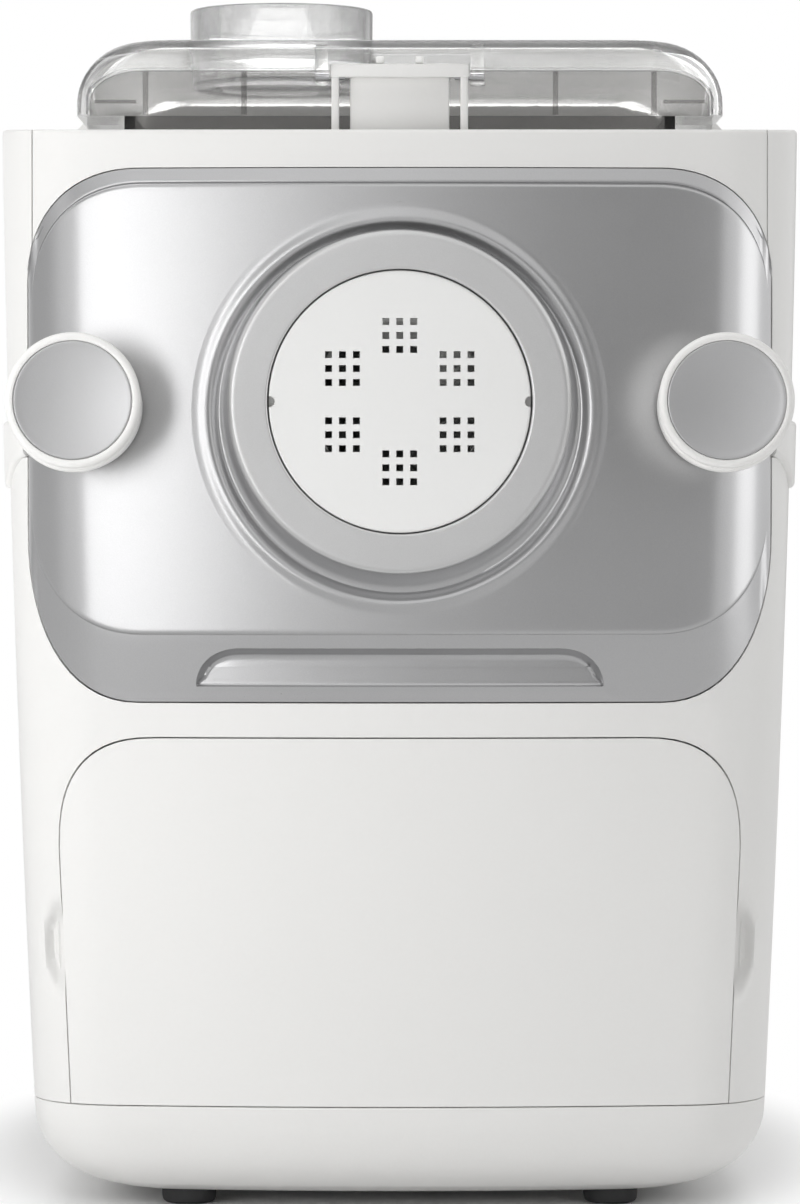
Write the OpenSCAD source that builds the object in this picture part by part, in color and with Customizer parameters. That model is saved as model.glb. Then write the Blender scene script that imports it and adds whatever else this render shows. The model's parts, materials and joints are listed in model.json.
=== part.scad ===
// Electric pasta maker: a tapered housing with a clear mixing chamber on top, a pull-off front panel with two
// locking knobs round the shaping disc, a storage drawer below, and a geared motor behind the chamber.
// Millimetres. +Z is up, +X is to the right seen from the front, the front faces -Y. The origin lies on the
// table, on the left-right middle plane, half way between the knob faces and the back.

/* [Body] */
// Width of the housing at its top edge
body_top_w = 234; // [230:1:238]
// Width of the housing at the seam above the base
body_seam_w = 215; // [211:1:219]
// Distance from the origin forward to the middle of the front face
body_front = 165; // [164.5:0.5:165.5]
// Distance from the origin back to the rear face
body_back = 198; // [196:1:204]
// Height of the housing's top edge
body_top = 314; // [313.5:0.5:314.5]
// Height of the seam between housing and base
seam_z = 32.3; // [31:0.5:34]
// Thickness of the housing walls
wall = 3; // [2.5:0.5:3.5]
// Radius of the two front corners, seen from above
front_r = 28; // [26:1:30]
// Radius of the two rear corners, seen from above
rear_r = 34; // [30:1:38]
// Roundness of the housing's top edge
edge_round = 2.2; // [1:0.2:2.4]
// Angle at which the bowed front runs into its corners
bow_angle = 7; // [5:1:8]

/* [Front panel] */
// Lower edge of the silver panel
panel_low = 149; // [148:0.5:150]
// Upper edge of the silver panel
panel_high = 302.9; // [302:0.5:304]
// Half width of the silver panel
panel_half = 108; // [107:0.5:108.5]
// How far the raised face stands out of the panel's border
face_raise = 3.5; // [3:0.5:4]
// Lower edge of the raised face
face_low = 169; // [167:1:171]
// Upper edge of the raised face
face_high = 298; // [297:0.5:299]

/* [Nozzle] */
// Height of the line shared by disc, screw and paddle
axis_z = 235.5; // [235:0.5:236]
// Radius of the shaping disc's face
disc_r = 37.7; // [37:0.1:37.9]
// Outer radius of the ring that clamps the disc
ring_r = 49.6; // [49:0.1:50]
// Outer radius of the channel round the ring, at its floor
channel_r = 52.9; // [52.5:0.1:53.5]
// How far the channel's middle lies below the disc's
channel_drop = 2.6; // [2.4:0.1:2.8]
// Side of one square hole in the disc
hole_side = 2; // [1.6:0.1:2.4]
// Distance between holes in a cluster
hole_pitch = 4; // [3.6:0.1:4.2]
// Radius of the circle of hole clusters
cluster_r = 19; // [17:0.5:20]

/* [Knobs] */
// Distance of each knob from the middle
knob_x = 92.2; // [92:0.1:92.5]
// Outer radius of a knob's rim
knob_r = 19.2; // [18:0.2:19.4]
// Radius of a knob's silver cap
cap_r = 16.8; // [15:0.2:17]
// Distance from the origin forward to the knob faces
knob_front = 198; // [196:1:200]

/* [Chamber and lid] */
// Inner radius of the chamber's trough
trough_r = 77; // [76:0.5:77]
// Height of the lid's top
lid_top = 340.6; // [340:0.2:341]
// Half width of the lid
lid_half = 94; // [93:0.5:95]
// Radius of the water cup
cup_r = 27.6; // [27:0.1:28]
// Place of the water cup, left to right
cup_x = -35.8; // [-37:0.2:-35]
// Place of the water cup, front to back
cup_y = -90; // [-92:0.5:-88]
// Height of the water cup's rim
cup_top = 355; // [352:1:358]

/* [Drawer] */
// Height of the drawer front's upper edge
drawer_top = 138.4; // [137.5:0.1:139]
// Half width of the drawer front
drawer_half = 98.6; // [97.5:0.1:99]

/* [Gear train] */
// Tooth size: pitch diameter over tooth count
gear_m = 1.5; // [1.5]
// Teeth on the motor pinion
pinion_n = 12; // [12]
// Teeth on the first large gear
first_n = 55; // [55]
// Teeth on the small gear beside it
second_n = 15; // [15]
// Teeth on the output gear
output_n = 59; // [59]

/* [Hidden] */
$fn = 48;

white = "#ecebe8";
silver = "#b5b6b7";
clear = [0.85, 0.88, 0.9, 0.35];

gap = 0.5;                                   // seam between outer covers
base_z = 4.5;                                // underside of the base
well_half = trough_r + 4;                    // clear half width of the well that the chamber stands in
chamber_front = -152.5;                      // outer face of the chamber's front wall
chamber_back = 61;                           // outer face of the chamber's rear wall
chamber_wall = 3;
deck_z = body_top;                           // top of the deck round the well
flange_z = 318.8;                            // top of the chamber's flange, where the lid sits
hinge_y = -155.6;                            // lid hinge line
hinge_z = 330;
pin_r = 1.1;
tower_front = 66;                            // front wall of the control housing
tower_top = 338;
second_z = axis_z - gear_m * (second_n + output_n) / 2;    // layshaft height
motor_z = second_z - gear_m * (pinion_n + first_n) / 2;    // motor height
disc_front = body_front + 5;                 // front of the disc, ahead of the origin
ring_front = disc_front + 0.5;
corner_p = 2.2;                              // roundness of the silver panel's corners
drawer_p = 2.6;                              // roundness of the drawer's corners
shaft_r = 3.7;                               // radius of a lock shaft
lock_bar = 8;                                // half length of the cross bar on a lock shaft
button_x = [-62, 62, 18, 36, -18];           // places of the buttons across the control fascia
button_y = 112;
button_r = 7;
foot_x = 62.2;
foot_y = [-128, 150];
scoop_r = 29.7;                              // round of the finger scoops beside the drawer
scoop_z = 77.5;
arm_low = 210.6;                             // lower and upper edge of the latch arms
arm_high = 230.4;
tongue_high = arm_low + 11.4;                // top of the tongue that ties an arm to the panel
grip_half = 58.8;                            // half width of the finger grip under the raised face
grip_low = 153.4;
grip_high = 164.6;
screw_front = -147;
screw_back = -76;
screw_pitch = 26;
paddle_r = 73;
rib_x = 45.2;                                // ribs on the chamber's front wall
lug_r = 2.8;
rack_x = [-42, 42];                          // places of the spare discs in the rack
rack_y = [-126, -96, -66];
disc_flange_r = 41;

// ---- helpers ----

// Half width of the body at height z: straight at the top, drawing in a little faster lower down
function half_w(z) = let (t = (z - seam_z) / (body_top - seam_z))
    body_seam_w / 2 + (body_top_w - body_seam_w) / 2 * (1.5 * t - 0.5 * t * t);

// Front of the body seen from above: a flat parabola that meets the round corners without a kink
function bow_x(w, r) = w - r * (1 - sin(bow_angle));
function bow_k(w, r) = tan(bow_angle) / (2 * bow_x(w, r));
function corner_y(w, r) = bow_k(w, r) * pow(bow_x(w, r), 2) + r * cos(bow_angle) - body_front;

// Distance of the front surface from the middle plane at (x, z), pulled back by d
function front_y(x, z, d = 0) = let (w = half_w(z) - d, r = front_r - d, ax = abs(x))
    ax <= bow_x(w, r) ? bow_k(w, r) * x * x - body_front + d
    : corner_y(w, r) + d - sqrt(max(0, r * r - pow(ax - w + r, 2)));

// Outline of the body at half width w, seen from above, pulled in by d all round
function plan(w, d, nf = 8, nc = 7) =
    let (h = w - d, r = front_r - d, q = rear_r - d, back = body_back - d,
         x1 = bow_x(h, r), k = bow_k(h, r), yc = corner_y(h, r) + d, a0 = bow_angle)
    concat(
        [for (i = [0:nf]) let (x = x1 * (2 * i / nf - 1)) [x, k * x * x - body_front + d]],
        [for (i = [1:nc]) let (a = a0 + (90 - a0) * i / nc) [h - r + r * sin(a), yc - r * cos(a)]],
        [for (i = [0:nc]) let (a = 90 * i / nc) [h - q + q * cos(a), back - q + q * sin(a)]],
        [for (i = [0:nc]) let (a = 90 * i / nc) [q - h - q * sin(a), back - q + q * cos(a)]],
        [for (i = [0:nc - 1]) let (a = 90 - (90 - a0) * i / nc) [r - h - r * sin(a), yc - r * cos(a)]]);

function body_ring(z, d) = [for (p = plan(half_w(z), d)) [p[0], p[1], z]];

// A closed solid through rings of equal point counts; each ring runs counter-clockwise seen from the last
module loft(rings, fan = false) {
    n = len(rings[0]);
    m = len(rings);
    e = (m - 1) * n;
    polyhedron(
        points = [for (r = rings) for (p = r) p],
        faces = concat(
            fan ? [for (i = [1:n - 2]) [0, i, i + 1]] : [[for (i = [0:n - 1]) i]],
            fan ? [for (i = [1:n - 2]) [e, e + i + 1, e + i]] : [[for (i = [n - 1:-1:0]) e + i]],
            [for (j = [0:m - 2]) for (i = [0:n - 1]) let (k = (i + 1) % n)
                [j * n + i, (j + 1) * n + i, (j + 1) * n + k]],
            [for (j = [0:m - 2]) for (i = [0:n - 1]) let (k = (i + 1) % n)
                [j * n + i, (j + 1) * n + k, j * n + k]]));
}

// The tapered body from z0 to z1, pulled in by d
module body_block(z0, z1, d = 0, steps = 5) {
    loft([for (i = [0:steps]) body_ring(z0 + (z1 - z0) * i / steps, d)]);
}

// The tapered body from z0 up to its top, whose edge is rolled over
module rolled_body(z0, steps = 5) {
    loft(concat(
        [for (i = [0:steps]) body_ring(z0 + (body_top - edge_round - z0) * i / steps, 0)],
        [for (a = [30, 60, 90]) body_ring(body_top - edge_round * (1 - sin(a)), edge_round * (1 - cos(a)))]));
}

// A flat shape drawn as (x, z), made solid from y0 to y1
module deep(y0, y1) {
    translate([0, y1, 0]) rotate([90, 0, 0]) linear_extrude(y1 - y0) children();
}

// A round bar along Y
module bar_y(x, z, y0, y1, r) {
    translate([x, y1, z]) rotate([90, 0, 0]) cylinder(r = r, h = y1 - y0);
}

// A cone along Y, radius r0 at y0 and r1 at y1
module cone_y(x, z, y0, y1, r0, r1) {
    translate([x, y1, z]) rotate([90, 0, 0]) cylinder(r1 = r1, r2 = r0, h = y1 - y0);
}

// A tube along Y
module tube_y(x, z, y0, y1, ro, ri) {
    difference() {
        bar_y(x, z, y0, y1, ro);
        bar_y(x, z, y0 - 1, y1 + 1, ri);
    }
}

// A profile drawn as (radius, distance forward), turned about the Y line through (x, z)
module turned(x, z) {
    translate([x, 0, z]) rotate([90, 0, 0]) rotate_extrude() children();
}

module block(x0, x1, y0, y1, z0, z1) {
    translate([x0, y0, z0]) cube([x1 - x0, y1 - y0, z1 - z0]);
}

// A rectangle with round corners, drawn from corner to corner
module round_rect(x0, x1, y0, y1, r) {
    polygon([for (c = [[x1 - r, y1 - r, 0], [x0 + r, y1 - r, 90], [x0 + r, y0 + r, 180], [x1 - r, y0 + r, 270]])
        for (i = [0:4]) let (a = c[2] + 22.5 * i) [c[0] + r * cos(a), c[1] + r * sin(a)]]);
}

// Quarter of a super-ellipse, width a and height b, from its side to its top
function super(a, b, p, n) = [for (i = [0:n]) let (t = 90 * i / n)
    [a * pow(cos(t), 2 / p), b * pow(sin(t), 2 / p)]];

// Front view of a panel: half width x, from z0 to z1, top corners a by b, bottom corners a by c
function panel_shape(x, z0, z1, a, b, c, p, n = 7) = let (top = super(a, b, p, n), low = super(a, c, p, n))
    concat(
        [for (q = top) [x - a + q[0], z1 - b + q[1]]],
        [for (i = [n:-1:0]) [a - x - top[i][0], z1 - b + top[i][1]]],
        [for (q = low) [a - x - q[0], z0 + c - q[1]]],
        [for (i = [n:-1:0]) [x - a + low[i][0], z0 + c - low[i][1]]]);

// Outline of the silver panel, grown by d
module silver_shape(d = 0) {
    polygon(panel_shape(panel_half + d, panel_low - d, panel_high + d, 33, 33, 50, corner_p));
}

// Outline of the drawer front, grown by d; its sides draw in towards the base
module drawer_shape(d = 0) {
    top = super(29, 32, drawer_p, 7);
    foot = drawer_half - 3.4;
    polygon(concat(
        [[foot + d, seam_z + gap - d]],
        [for (q = top) [drawer_half + d - 29 + q[0], drawer_top + d - 32 + q[1]]],
        [for (i = [7:-1:0]) [29 - drawer_half - d - top[i][0], drawer_top + d - 32 + top[i][1]]],
        [[-foot - d, seam_z + gap - d]]));
}

// The strip of front between the housing's side seams, above the silver panel
module top_shape(d = 0) {
    translate([-106.6 - d, 276]) square([2 * (106.6 + d), body_top - 276 + d]);
}

// One side of an arch: the lid's cross-section, pulled in by d, down to z0
module arch_shape(d, z0) {
    side = super(20 - d, 18 - d, 2, 8);
    polygon(concat(
        [[lid_half - d, z0]],
        [for (q = side) [lid_half - 20 + q[0], lid_top - 18 + q[1]]],
        [for (i = [8:-1:0]) [20 - lid_half - side[i][0], lid_top - 18 + side[i][1]]],
        [[d - lid_half, z0]]));
}

// Involute gear blank: teeth thinned by a little backlash
function involute(rb, r) = let (t = sqrt(max(0, pow(r / rb, 2) - 1)) * 180 / PI) t - atan(t * PI / 180);
function tooth_side(n, r) = let (rp = gear_m * n / 2, rb = rp * cos(20))
    90 / n - 3.4 / rp + involute(rb, rp) - involute(rb, max(r, rb));
module gear_shape(n) {
    rp = gear_m * n / 2;
    root = rp - 1.2 * gear_m;
    tip = rp + 0.85 * gear_m;
    radii = [root, max(root, rp * cos(20)), rp, tip];
    polygon([for (i = [0:n - 1]) for (s = [-1, 1]) for (j = [0:3])
        let (r = s < 0 ? radii[j] : radii[3 - j], a = 360 * i / n + s * tooth_side(n, r))
        [r * cos(a), r * sin(a)]]);
}
module gear_y(n, z, y0, y1, turn) {
    translate([0, y1, z]) rotate([90, turn, 0]) linear_extrude(y1 - y0) gear_shape(n);
}

// ---- base and housing ----

// The base draws in under the housing: pull-in and height of each ring
base_steps = [[28, base_z], [18, 6.2], [14, 8.2], [7.2, 13.3], [2.9, 19.2], [0.7, 25], [0, seam_z]];
module base_block(d) {
    w = half_w(seam_z);
    cy = (body_back - body_front) / 2;
    h = (body_back + body_front) / 2;
    loft([for (s = base_steps) [for (p = plan(w, 0)) let (k = s[0] + d)
        [p[0] * (w - k) / w, cy + (p[1] - cy) * (h - k) / h, min(seam_z + d, s[1] + d)]]]);
}

module base_shell() {
    color(white) difference() {
        base_block(0);
        difference() {
            translate([0, 0, 0.01]) base_block(wall);
            for (x = [-foot_x, foot_x], y = foot_y) translate([x, y, 0]) cylinder(r = 11, h = 12);
            block(-90, 90, 104, 108, 0, 26);
            block(-90, 90, 60, 64, 0, 26);
        }
        block(-200, 200, -200, 200, seam_z - gap, seam_z + 9);
        for (x = [-foot_x, foot_x], y = foot_y) {
            translate([x, y, -1]) cylinder(r = 8, h = 6.5);
            translate([x, y, 9]) cylinder(r = 2.2, h = 20);
        }
        // Air intake under the fan
        for (i = [-4:4]) block(-22, 22, 140 + i * 6, 143 + i * 6, 0, 12);
    }
}

module rubber_feet() {
    color("#3a3a3c") for (x = [-foot_x, foot_x], y = foot_y)
        translate([x, y, 0]) rotate_extrude()
            polygon([[0, 0], [6.8, 0], [7.8, 1], [8, 5.5], [0, 5.5]]);
}

module scoop(side, d) {
    bar_y(side * (drawer_half - 1.2 + 6 - scoop_r), scoop_z, -160, -140, scoop_r + d);
}

// Where the latch arms lie on the housing's sides, seen from the side
module arm_window(d) {
    for (side = [-1, 1]) translate([side > 0 ? 99 - d : -140, 0, 0])
        rotate([90, 0, 90]) linear_extrude(41 + d)
            translate([-108 + d, 0]) mirror([1, 0]) round_rect(0, 70, arm_low - d, arm_high + d, 9);
}

module side_housing() {
    color(white) difference() {
        rolled_body(seam_z);
        body_block(seam_z - 2, body_top - wall, wall, 5);
        difference() {
            deep(-220, -139.5) {
                silver_shape(gap);
                top_shape(gap);
            }
            intersection() {
                body_block(body_top - wall, body_top + 1, 3.5, 1);
                block(-120, 120, -151, -130, 300, 330);
            }
        }
        deep(-220, -139.5) drawer_shape(gap);
        block(-well_half, well_half, -200, 65, body_top - 5, body_top + 2);
        block(-104, 104, 70, 184, body_top - 5, body_top + 2);
        for (side = [-1, 1]) intersection() {
            scoop(side, 0);
            block(-200, 200, -200, -150, 0, 200);
        }
        intersection() {
            arm_window(0.4);
            difference() {
                body_block(190, 250, -4, 1);
                body_block(188, 252, 4, 1);
            }
            block(-200, 200, -200, -100, 190, 250);
        }
        block(-17, 17, 180, 220, 46, 70);
        for (i = [0:8], x = [-74, 46]) block(x, x + 28, 180, 220, 60 + i * 7, 63.2 + i * 7);
    }
}

module drawer_bay() {
    color(white) difference() {
        union() {
            block(-93, 93, -148, 50, seam_z + 2, 133);
            intersection() {
                body_block(seam_z + 2, 141, 3.4, 3);
                block(-120, 120, -149, -145, seam_z + 2, 141);
            }
        }
        block(-91, 91, -200, 48, seam_z + 4, 131);
        block(-200, 200, -200, -138, seam_z - 1, seam_z + 4);
    }
}

module chamber_well() {
    color(white) difference() {
        union() {
            bar_y(0, axis_z, -145.5, 64, well_half + 2);
            block(-well_half - 2, well_half + 2, -145.5, 64, axis_z, body_top - wall - 0.5);
        }
        bar_y(0, axis_z, -150, 62, well_half);
        block(-well_half, well_half, -150, 62, axis_z, body_top + 1);
        block(-200, 200, -200, 200, body_top - wall - 0.5, 400);
        bar_y(0, axis_z, 60, 66, 12);
    }
}

// Slot through the bulkhead for a lock shaft's cross bar, open towards the well
module lock_slot(side) {
    far = side * (knob_x + shaft_r + 1.2);
    near = side * (well_half - 8);
    block(min(near, far), max(near, far), -160, -140, axis_z - lock_bar - 1.2, axis_z + lock_bar + 1.2);
}

module front_bulkhead() {
    color(white) difference() {
        intersection() {
            body_block(panel_low - 6, body_top - wall - 0.5, wall + 0.4, 4);
            block(-120, 120, -150, -146, 0, 400);
        }
        bar_y(0, axis_z, -160, -140, well_half);
        block(-well_half, well_half, -160, -140, axis_z, 400);
        lock_slot(-1);
        lock_slot(1);
        // Notches for the tongues of the latch arms
        for (side = [-1, 1])
            block(side > 0 ? 96 : -120, side > 0 ? 120 : -96, -160, -140, arm_low, tongue_high + 1);
    }
}

// ---- control housing on top, behind the chamber ----

module control_housing() {
    rings = [[deck_z, 0], [319, 1], [325, 4], [330, 9], [334, 13], [336.8, 17.5], [tower_top, 22]];
    inner = [[deck_z - 1, 3], [319, 4], [325, 7], [330, 12], [332, 14.5]];
    color(white) difference() {
        loft([for (s = rings) [for (p = plan(half_w(body_top), s[1])) [p[0], p[1], s[0]]]]);
        intersection() {
            loft([for (s = inner) [for (p = plan(half_w(body_top), s[1])) [p[0], p[1], s[0]]]]);
            block(-200, 200, tower_front + 3, 300, 0, 400);
        }
        block(-200, 200, -300, tower_front, 0, 400);
        block(-78, 78, 92, 168, 334.5, 350);
        block(-72, 72, 98, 162, 330, 350);
    }
}

module control_fascia() {
    color("#2b2c2e") difference() {
        translate([0, 0, 334.5]) linear_extrude(3.2) round_rect(-77.6, 77.6, 92.4, 167.6, 6);
        translate([0, 0, 335.2]) linear_extrude(9) round_rect(-46, 46, 128, 158, 3);
        translate([0, 0, 330]) linear_extrude(9) round_rect(-43, 43, 131, 155, 2);
        for (i = [0:4]) translate([button_x[i], button_y, 330]) cylinder(r = button_r + 0.3, h = 20);
    }
}

module display_lens() {
    color("#15181b") {
        translate([0, 0, 335.2]) linear_extrude(2.5) round_rect(-45.8, 45.8, 128.2, 157.8, 2.8);
    }
}

module control_board() {
    color("#2e6b45") {
        block(-70, 70, 96, 164, 325, 326.6);
        for (x = [-66, 66], y = [100, 160]) translate([x, y, 311]) cylinder(r = 3, h = 14);
    }
    color("#303234") for (i = [0:4]) translate([button_x[i] - 3, button_y - 3, 326.6]) cube([6, 6, 3]);
    color("#303234") block(-34, 34, 132, 154, 326.6, 331.5);
}

// A key: a round cap with a stem that stands on its switch
module key(i) {
    color("#d9d9d8") translate([button_x[i], button_y, 0]) {
        translate([0, 0, 332]) cylinder(r = button_r, h = 6.6);
        translate([0, 0, 330.9]) cylinder(r = 2.2, h = 2);
    }
}
module power_button() { key(0); }
module start_button() { key(1); }
module menu_button() { key(2); }
module plus_button() { key(3); }
module minus_button() { key(4); }

// ---- motor and gears ----

module power_board() {
    color("#2e6b45") block(-100, -98.2, 104, 176, 50, 150);
    color("#303234") for (q = [[112, 60, 20], [138, 66, 14], [156, 96, 18], [120, 112, 16]])
        block(-98.2, -98.2 + q[2], q[0], q[0] + 16, q[1], q[1] + 22);
}

module motor_body() {
    color("#8d9093") difference() {
        union() {
            bar_y(0, motor_z, 112, 170, 36);
            bar_y(0, motor_z, 170, 174, 15);
            block(-30, 30, 112, 116, motor_z - 38, motor_z + 38);
        }
        bar_y(0, motor_z, 100, 180, 4.05);
        for (a = [0:45:315]) translate([25 * cos(a), 166, motor_z + 25 * sin(a)])
            rotate([-90, 0, 0]) cylinder(r = 5, h = 8);
    }
}

module motor_mount() {
    color("#70747a") {
        difference() {
            block(-44, 44, 104, 112, 26.2, motor_z + 12);
            bar_y(0, motor_z, 90, 130, 24);
            block(-30, 30, 100, 120, 40, motor_z - 46);
            bar_y(0, motor_z, 90, 113, 49);
        }
        for (x = [-44, 38]) block(x, x + 6, 112, 150, 26.2, motor_z - 30);
    }
}

module gearbox_outline(d) {
    translate([0, axis_z]) circle(r = 50 - d);
    translate([0, second_z]) circle(r = 47 - d);
    translate([0, motor_z]) circle(r = 22 - d);
    translate([-34 + d, second_z]) square([68 - 2 * d, axis_z - second_z]);
}

module gearbox_case() {
    color("#9a9da1") difference() {
        deep(68, 104) gearbox_outline(0);
        deep(71, 110) gearbox_outline(3);
        bar_y(0, axis_z, 60, 80, 13);
        bar_y(0, second_z, 60, 80, 9);
    }
}

module gearbox_cover() {
    color("#8f9296") difference() {
        deep(104, 108) gearbox_outline(0);
        bar_y(0, axis_z, 90, 120, 13);
        bar_y(0, second_z, 90, 120, 9);
        bar_y(0, motor_z, 90, 120, 9);
    }
}

module bearings() {
    color("#c9ccd0") {
        tube_y(0, axis_z, 66.5, 71, 13, 7.05);
        tube_y(0, axis_z, 102, 108, 13, 7.05);
        tube_y(0, second_z, 68, 71, 9, 5.05);
        tube_y(0, second_z, 103, 108, 9, 5.05);
        tube_y(0, motor_z, 103, 108, 9, 4.05);
    }
}

module output_shaft() {
    color("#c9ccd0") {
        bar_y(0, axis_z, 36, 109, 7);
        translate([0, 36, axis_z]) rotate([90, 0, 0]) cylinder(r = 6.5, h = 22, $fn = 6);
    }
}

module output_gear() {
    color("#d8c9a2") difference() {
        union() {
            gear_y(output_n, axis_z, 75, 84, 90);
            bar_y(0, axis_z, 73, 88, 14);
        }
        bar_y(0, axis_z, 60, 100, 7);
        turned(0, axis_z) polygon([[18, -90], [37, -90], [37, -81.5], [18, -81.5]]);
        for (a = [0:60:300]) bar_y(27.5 * cos(a), axis_z + 27.5 * sin(a), 70, 90, 6);
    }
}

module layshaft() {
    color("#c9ccd0") bar_y(0, second_z, 66, 109, 5);
}

module layshaft_gears() {
    color("#d8c9a2") difference() {
        union() {
            gear_y(second_n, second_z, 74, 85, 90);
            bar_y(0, second_z, 85, 89, 8);
            gear_y(first_n, second_z, 89, 98, 90);
            bar_y(0, second_z, 98, 102, 8);
        }
        bar_y(0, second_z, 60, 110, 5);
        for (a = [30:60:330]) bar_y(24 * cos(a), second_z + 24 * sin(a), 86, 110, 7);
    }
}

module motor_shaft() {
    color("#c9ccd0") bar_y(0, motor_z, 84, 190, 4);
}

module motor_pinion() {
    color("#b9bcc0") difference() {
        gear_y(pinion_n, motor_z, 87.5, 100, 90 + 180 / pinion_n);
        bar_y(0, motor_z, 80, 110, 4);
    }
}

module cooling_fan() {
    color("#33363a") {
        tube_y(0, motor_z, 177, 188, 9, 4);
        for (a = [0:40:320]) translate([0, 182.5, motor_z]) rotate([0, a, 0])
            rotate([0, 0, 28]) translate([-1, -5, 8.4]) cube([2, 10, 23]);
    }
}

module power_inlet() {
    color("#2c2d30") difference() {
        union() {
            block(-16.5, 16.5, 178, body_back - 0.2, 46.5, 69.5);
            block(-20, 20, 192, 194.8, 43, 73);
        }
        block(-12.5, 12.5, 182, 210, 49.5, 66.5);
    }
    color("#c8a24a") for (q = [[-7, 56], [0, 60], [7, 56]])
        block(q[0] - 1, q[0] + 1, 181, 193, q[1] - 2, q[1] + 2);
}

module housing_screws() {
    color("#9a9da1") for (x = [-foot_x, foot_x], y = foot_y) translate([x, y, 9]) {
        cylinder(r = 2.15, h = 14);
        translate([0, 0, 3]) difference() {
            cylinder(r = 4.2, h = 2.6);
            translate([-3, -0.5, 1.4]) cube([6, 1, 2]);
            translate([-0.5, -3, 1.4]) cube([1, 6, 2]);
        }
    }
}

// ---- chamber, tube, screw and paddle ----

// Upper edge of the chamber's front wall, an arch that follows the lid's rim
module front_wall_shape() {
    arch = super(15, 9, 2.2, 6);
    polygon(concat(
        [[80, 230]],
        [[80, flange_z], [90, flange_z]],
        [for (q = arch) [75 + q[0], 323 + q[1]]],
        [for (i = [6:-1:0]) [-75 - arch[i][0], 323 + arch[i][1]]],
        [[-90, flange_z], [-80, flange_z], [-80, 230]]));
    translate([0, axis_z]) circle(r = 80);
}

module mixing_chamber() {
    out_r = trough_r + chamber_wall;
    color(clear) difference() {
        union() {
            deep(chamber_front, chamber_front + 3) front_wall_shape();
            bar_y(0, axis_z, chamber_front + 1, chamber_back, out_r);
            block(-out_r, out_r, chamber_front + 1, chamber_back, axis_z, 331);
            block(-91, 91, chamber_front, chamber_back, flange_z - 2.5, flange_z);
            block(-91, -89, chamber_front, chamber_back, deck_z + 0.2, flange_z);
            block(89, 91, chamber_front, chamber_back, deck_z + 0.2, flange_z);
            for (x = [-rib_x, rib_x])
                block(x - 0.8, x + 0.8, chamber_front - 1.6, chamber_front + 1, flange_z, 331.5);
        }
        bar_y(0, axis_z, chamber_front + 3, chamber_back - 3, trough_r);
        block(-trough_r, trough_r, chamber_front + 3, chamber_back - 3, axis_z, 340);
        bar_y(0, axis_z, -160, -140, 30);
        bar_y(0, axis_z, 50, 70, 10);
    }
}

module shaft_seal() {
    color("#5b5e62") turned(0, axis_z)
        polygon([[7.05, -61.5], [9.9, -61.5], [9.9, -57.5], [12.5, -57.5], [10, -55], [7.05, -55]]);
}

// A round bar on the lid's hinge line
module hinge_bar(x0, x1, r) {
    translate([x0, hinge_y, hinge_z]) rotate([0, 90, 0]) cylinder(r = r, h = x1 - x0);
}

module chamber_bracket() {
    color(white) {
        difference() {
            deep(-157.4, chamber_front) difference() {
                translate([-19.6, 287]) square([39.2, 46.9]);
                translate([-14.4, 290]) square([28.8, 40.1]);
            }
            hinge_bar(-30, 30, pin_r);
        }
        deep(-154.2, chamber_front) translate([-14.4, 290]) square([28.8, 40.1]);
        for (x = [-6.9, 4.5]) block(x, x + 2.4, -156.4, -154, 333.9, 335.8);
    }
}

module lid_hinge_pins() {
    color("#c9ccd0") {
        hinge_bar(-24.2, -15.9, pin_r);
        hinge_bar(15.9, 24.2, pin_r);
    }
}

module extruder_tube() {
    color("#d7d9da") difference() {
        union() {
            bar_y(0, axis_z, -158.5, chamber_front, 45);
            bar_y(0, axis_z, chamber_front, -72, 29.6);
            tube_y(0, axis_z, -76, -72, 29.6, 20);
        }
        bar_y(0, axis_z, -160, -154.5, 41.3);
        cone_y(0, axis_z, -154.6, -149, 28.6, 25.6);
        bar_y(0, axis_z, -150, -60, 25.6);
        block(-19, 19, -126, -82, axis_z + 12, axis_z + 50);
    }
}

// The screw's flight: a thin blade carried round and back at a steady pitch
module flight(r0, r1, y0, y1, pitch, thick, n = 20) {
    turns = (y1 - y0) / pitch;
    steps = round(turns * n);
    loft([for (i = [0:steps]) let (a = 360 * turns * i / steps, y = y0 + (y1 - y0) * i / steps,
            rise = min(1, 6 * i / steps), r = r0 + 1 + (r1 - r0 - 1) * rise)
        [for (q = [[r0, -thick], [r, -thick * 0.55], [r, thick * 0.55], [r0, thick]])
            [q[0] * cos(a), y + q[1], axis_z + q[0] * sin(a)]]], fan = true);
}

module extrusion_screw() {
    color("#e3e3e1") {
        difference() {
            union() {
                bar_y(0, axis_z, screw_front - 1.5, 14, 9);
                cone_y(0, axis_z, screw_front - 5, screw_front - 1.5, 4, 9);
            }
            translate([0, 16, axis_z]) rotate([90, 0, 0]) cylinder(r = 6.6, h = 16, $fn = 6);
        }
        flight(8.6, 25.1, screw_front + 2, screw_back - 2, screw_pitch, 2.2);
    }
}

module mixing_paddle() {
    color("#e3e3e1") difference() {
        union() {
            bar_y(0, axis_z, 15, 50, 15);
            cone_y(0, axis_z, 6, 15, 11, 15);
            for (s = [-1, 1]) {
                // Spoke, leaning back, then the long mixing bar with its angled edge
                block(s > 0 ? 8 : -paddle_r, s > 0 ? paddle_r : -8, 42, 50, axis_z - 6, axis_z + 6);
                translate([s * (paddle_r - 3.5), 0, axis_z]) rotate([0, s * 18, 0])
                    block(-3, 3, -138, 46, -11, 11);
            }
            tube_y(0, axis_z, -139, -132, paddle_r, paddle_r - 7);
        }
        translate([0, 52, axis_z]) rotate([90, 0, 0]) cylinder(r = 6.6, h = 60, $fn = 6);
        bar_y(0, axis_z, 35.8, 60, 7.05);
        bar_y(0, axis_z, 0, 14.4, 9.1);
    }
}

// ---- front panel ----

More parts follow.
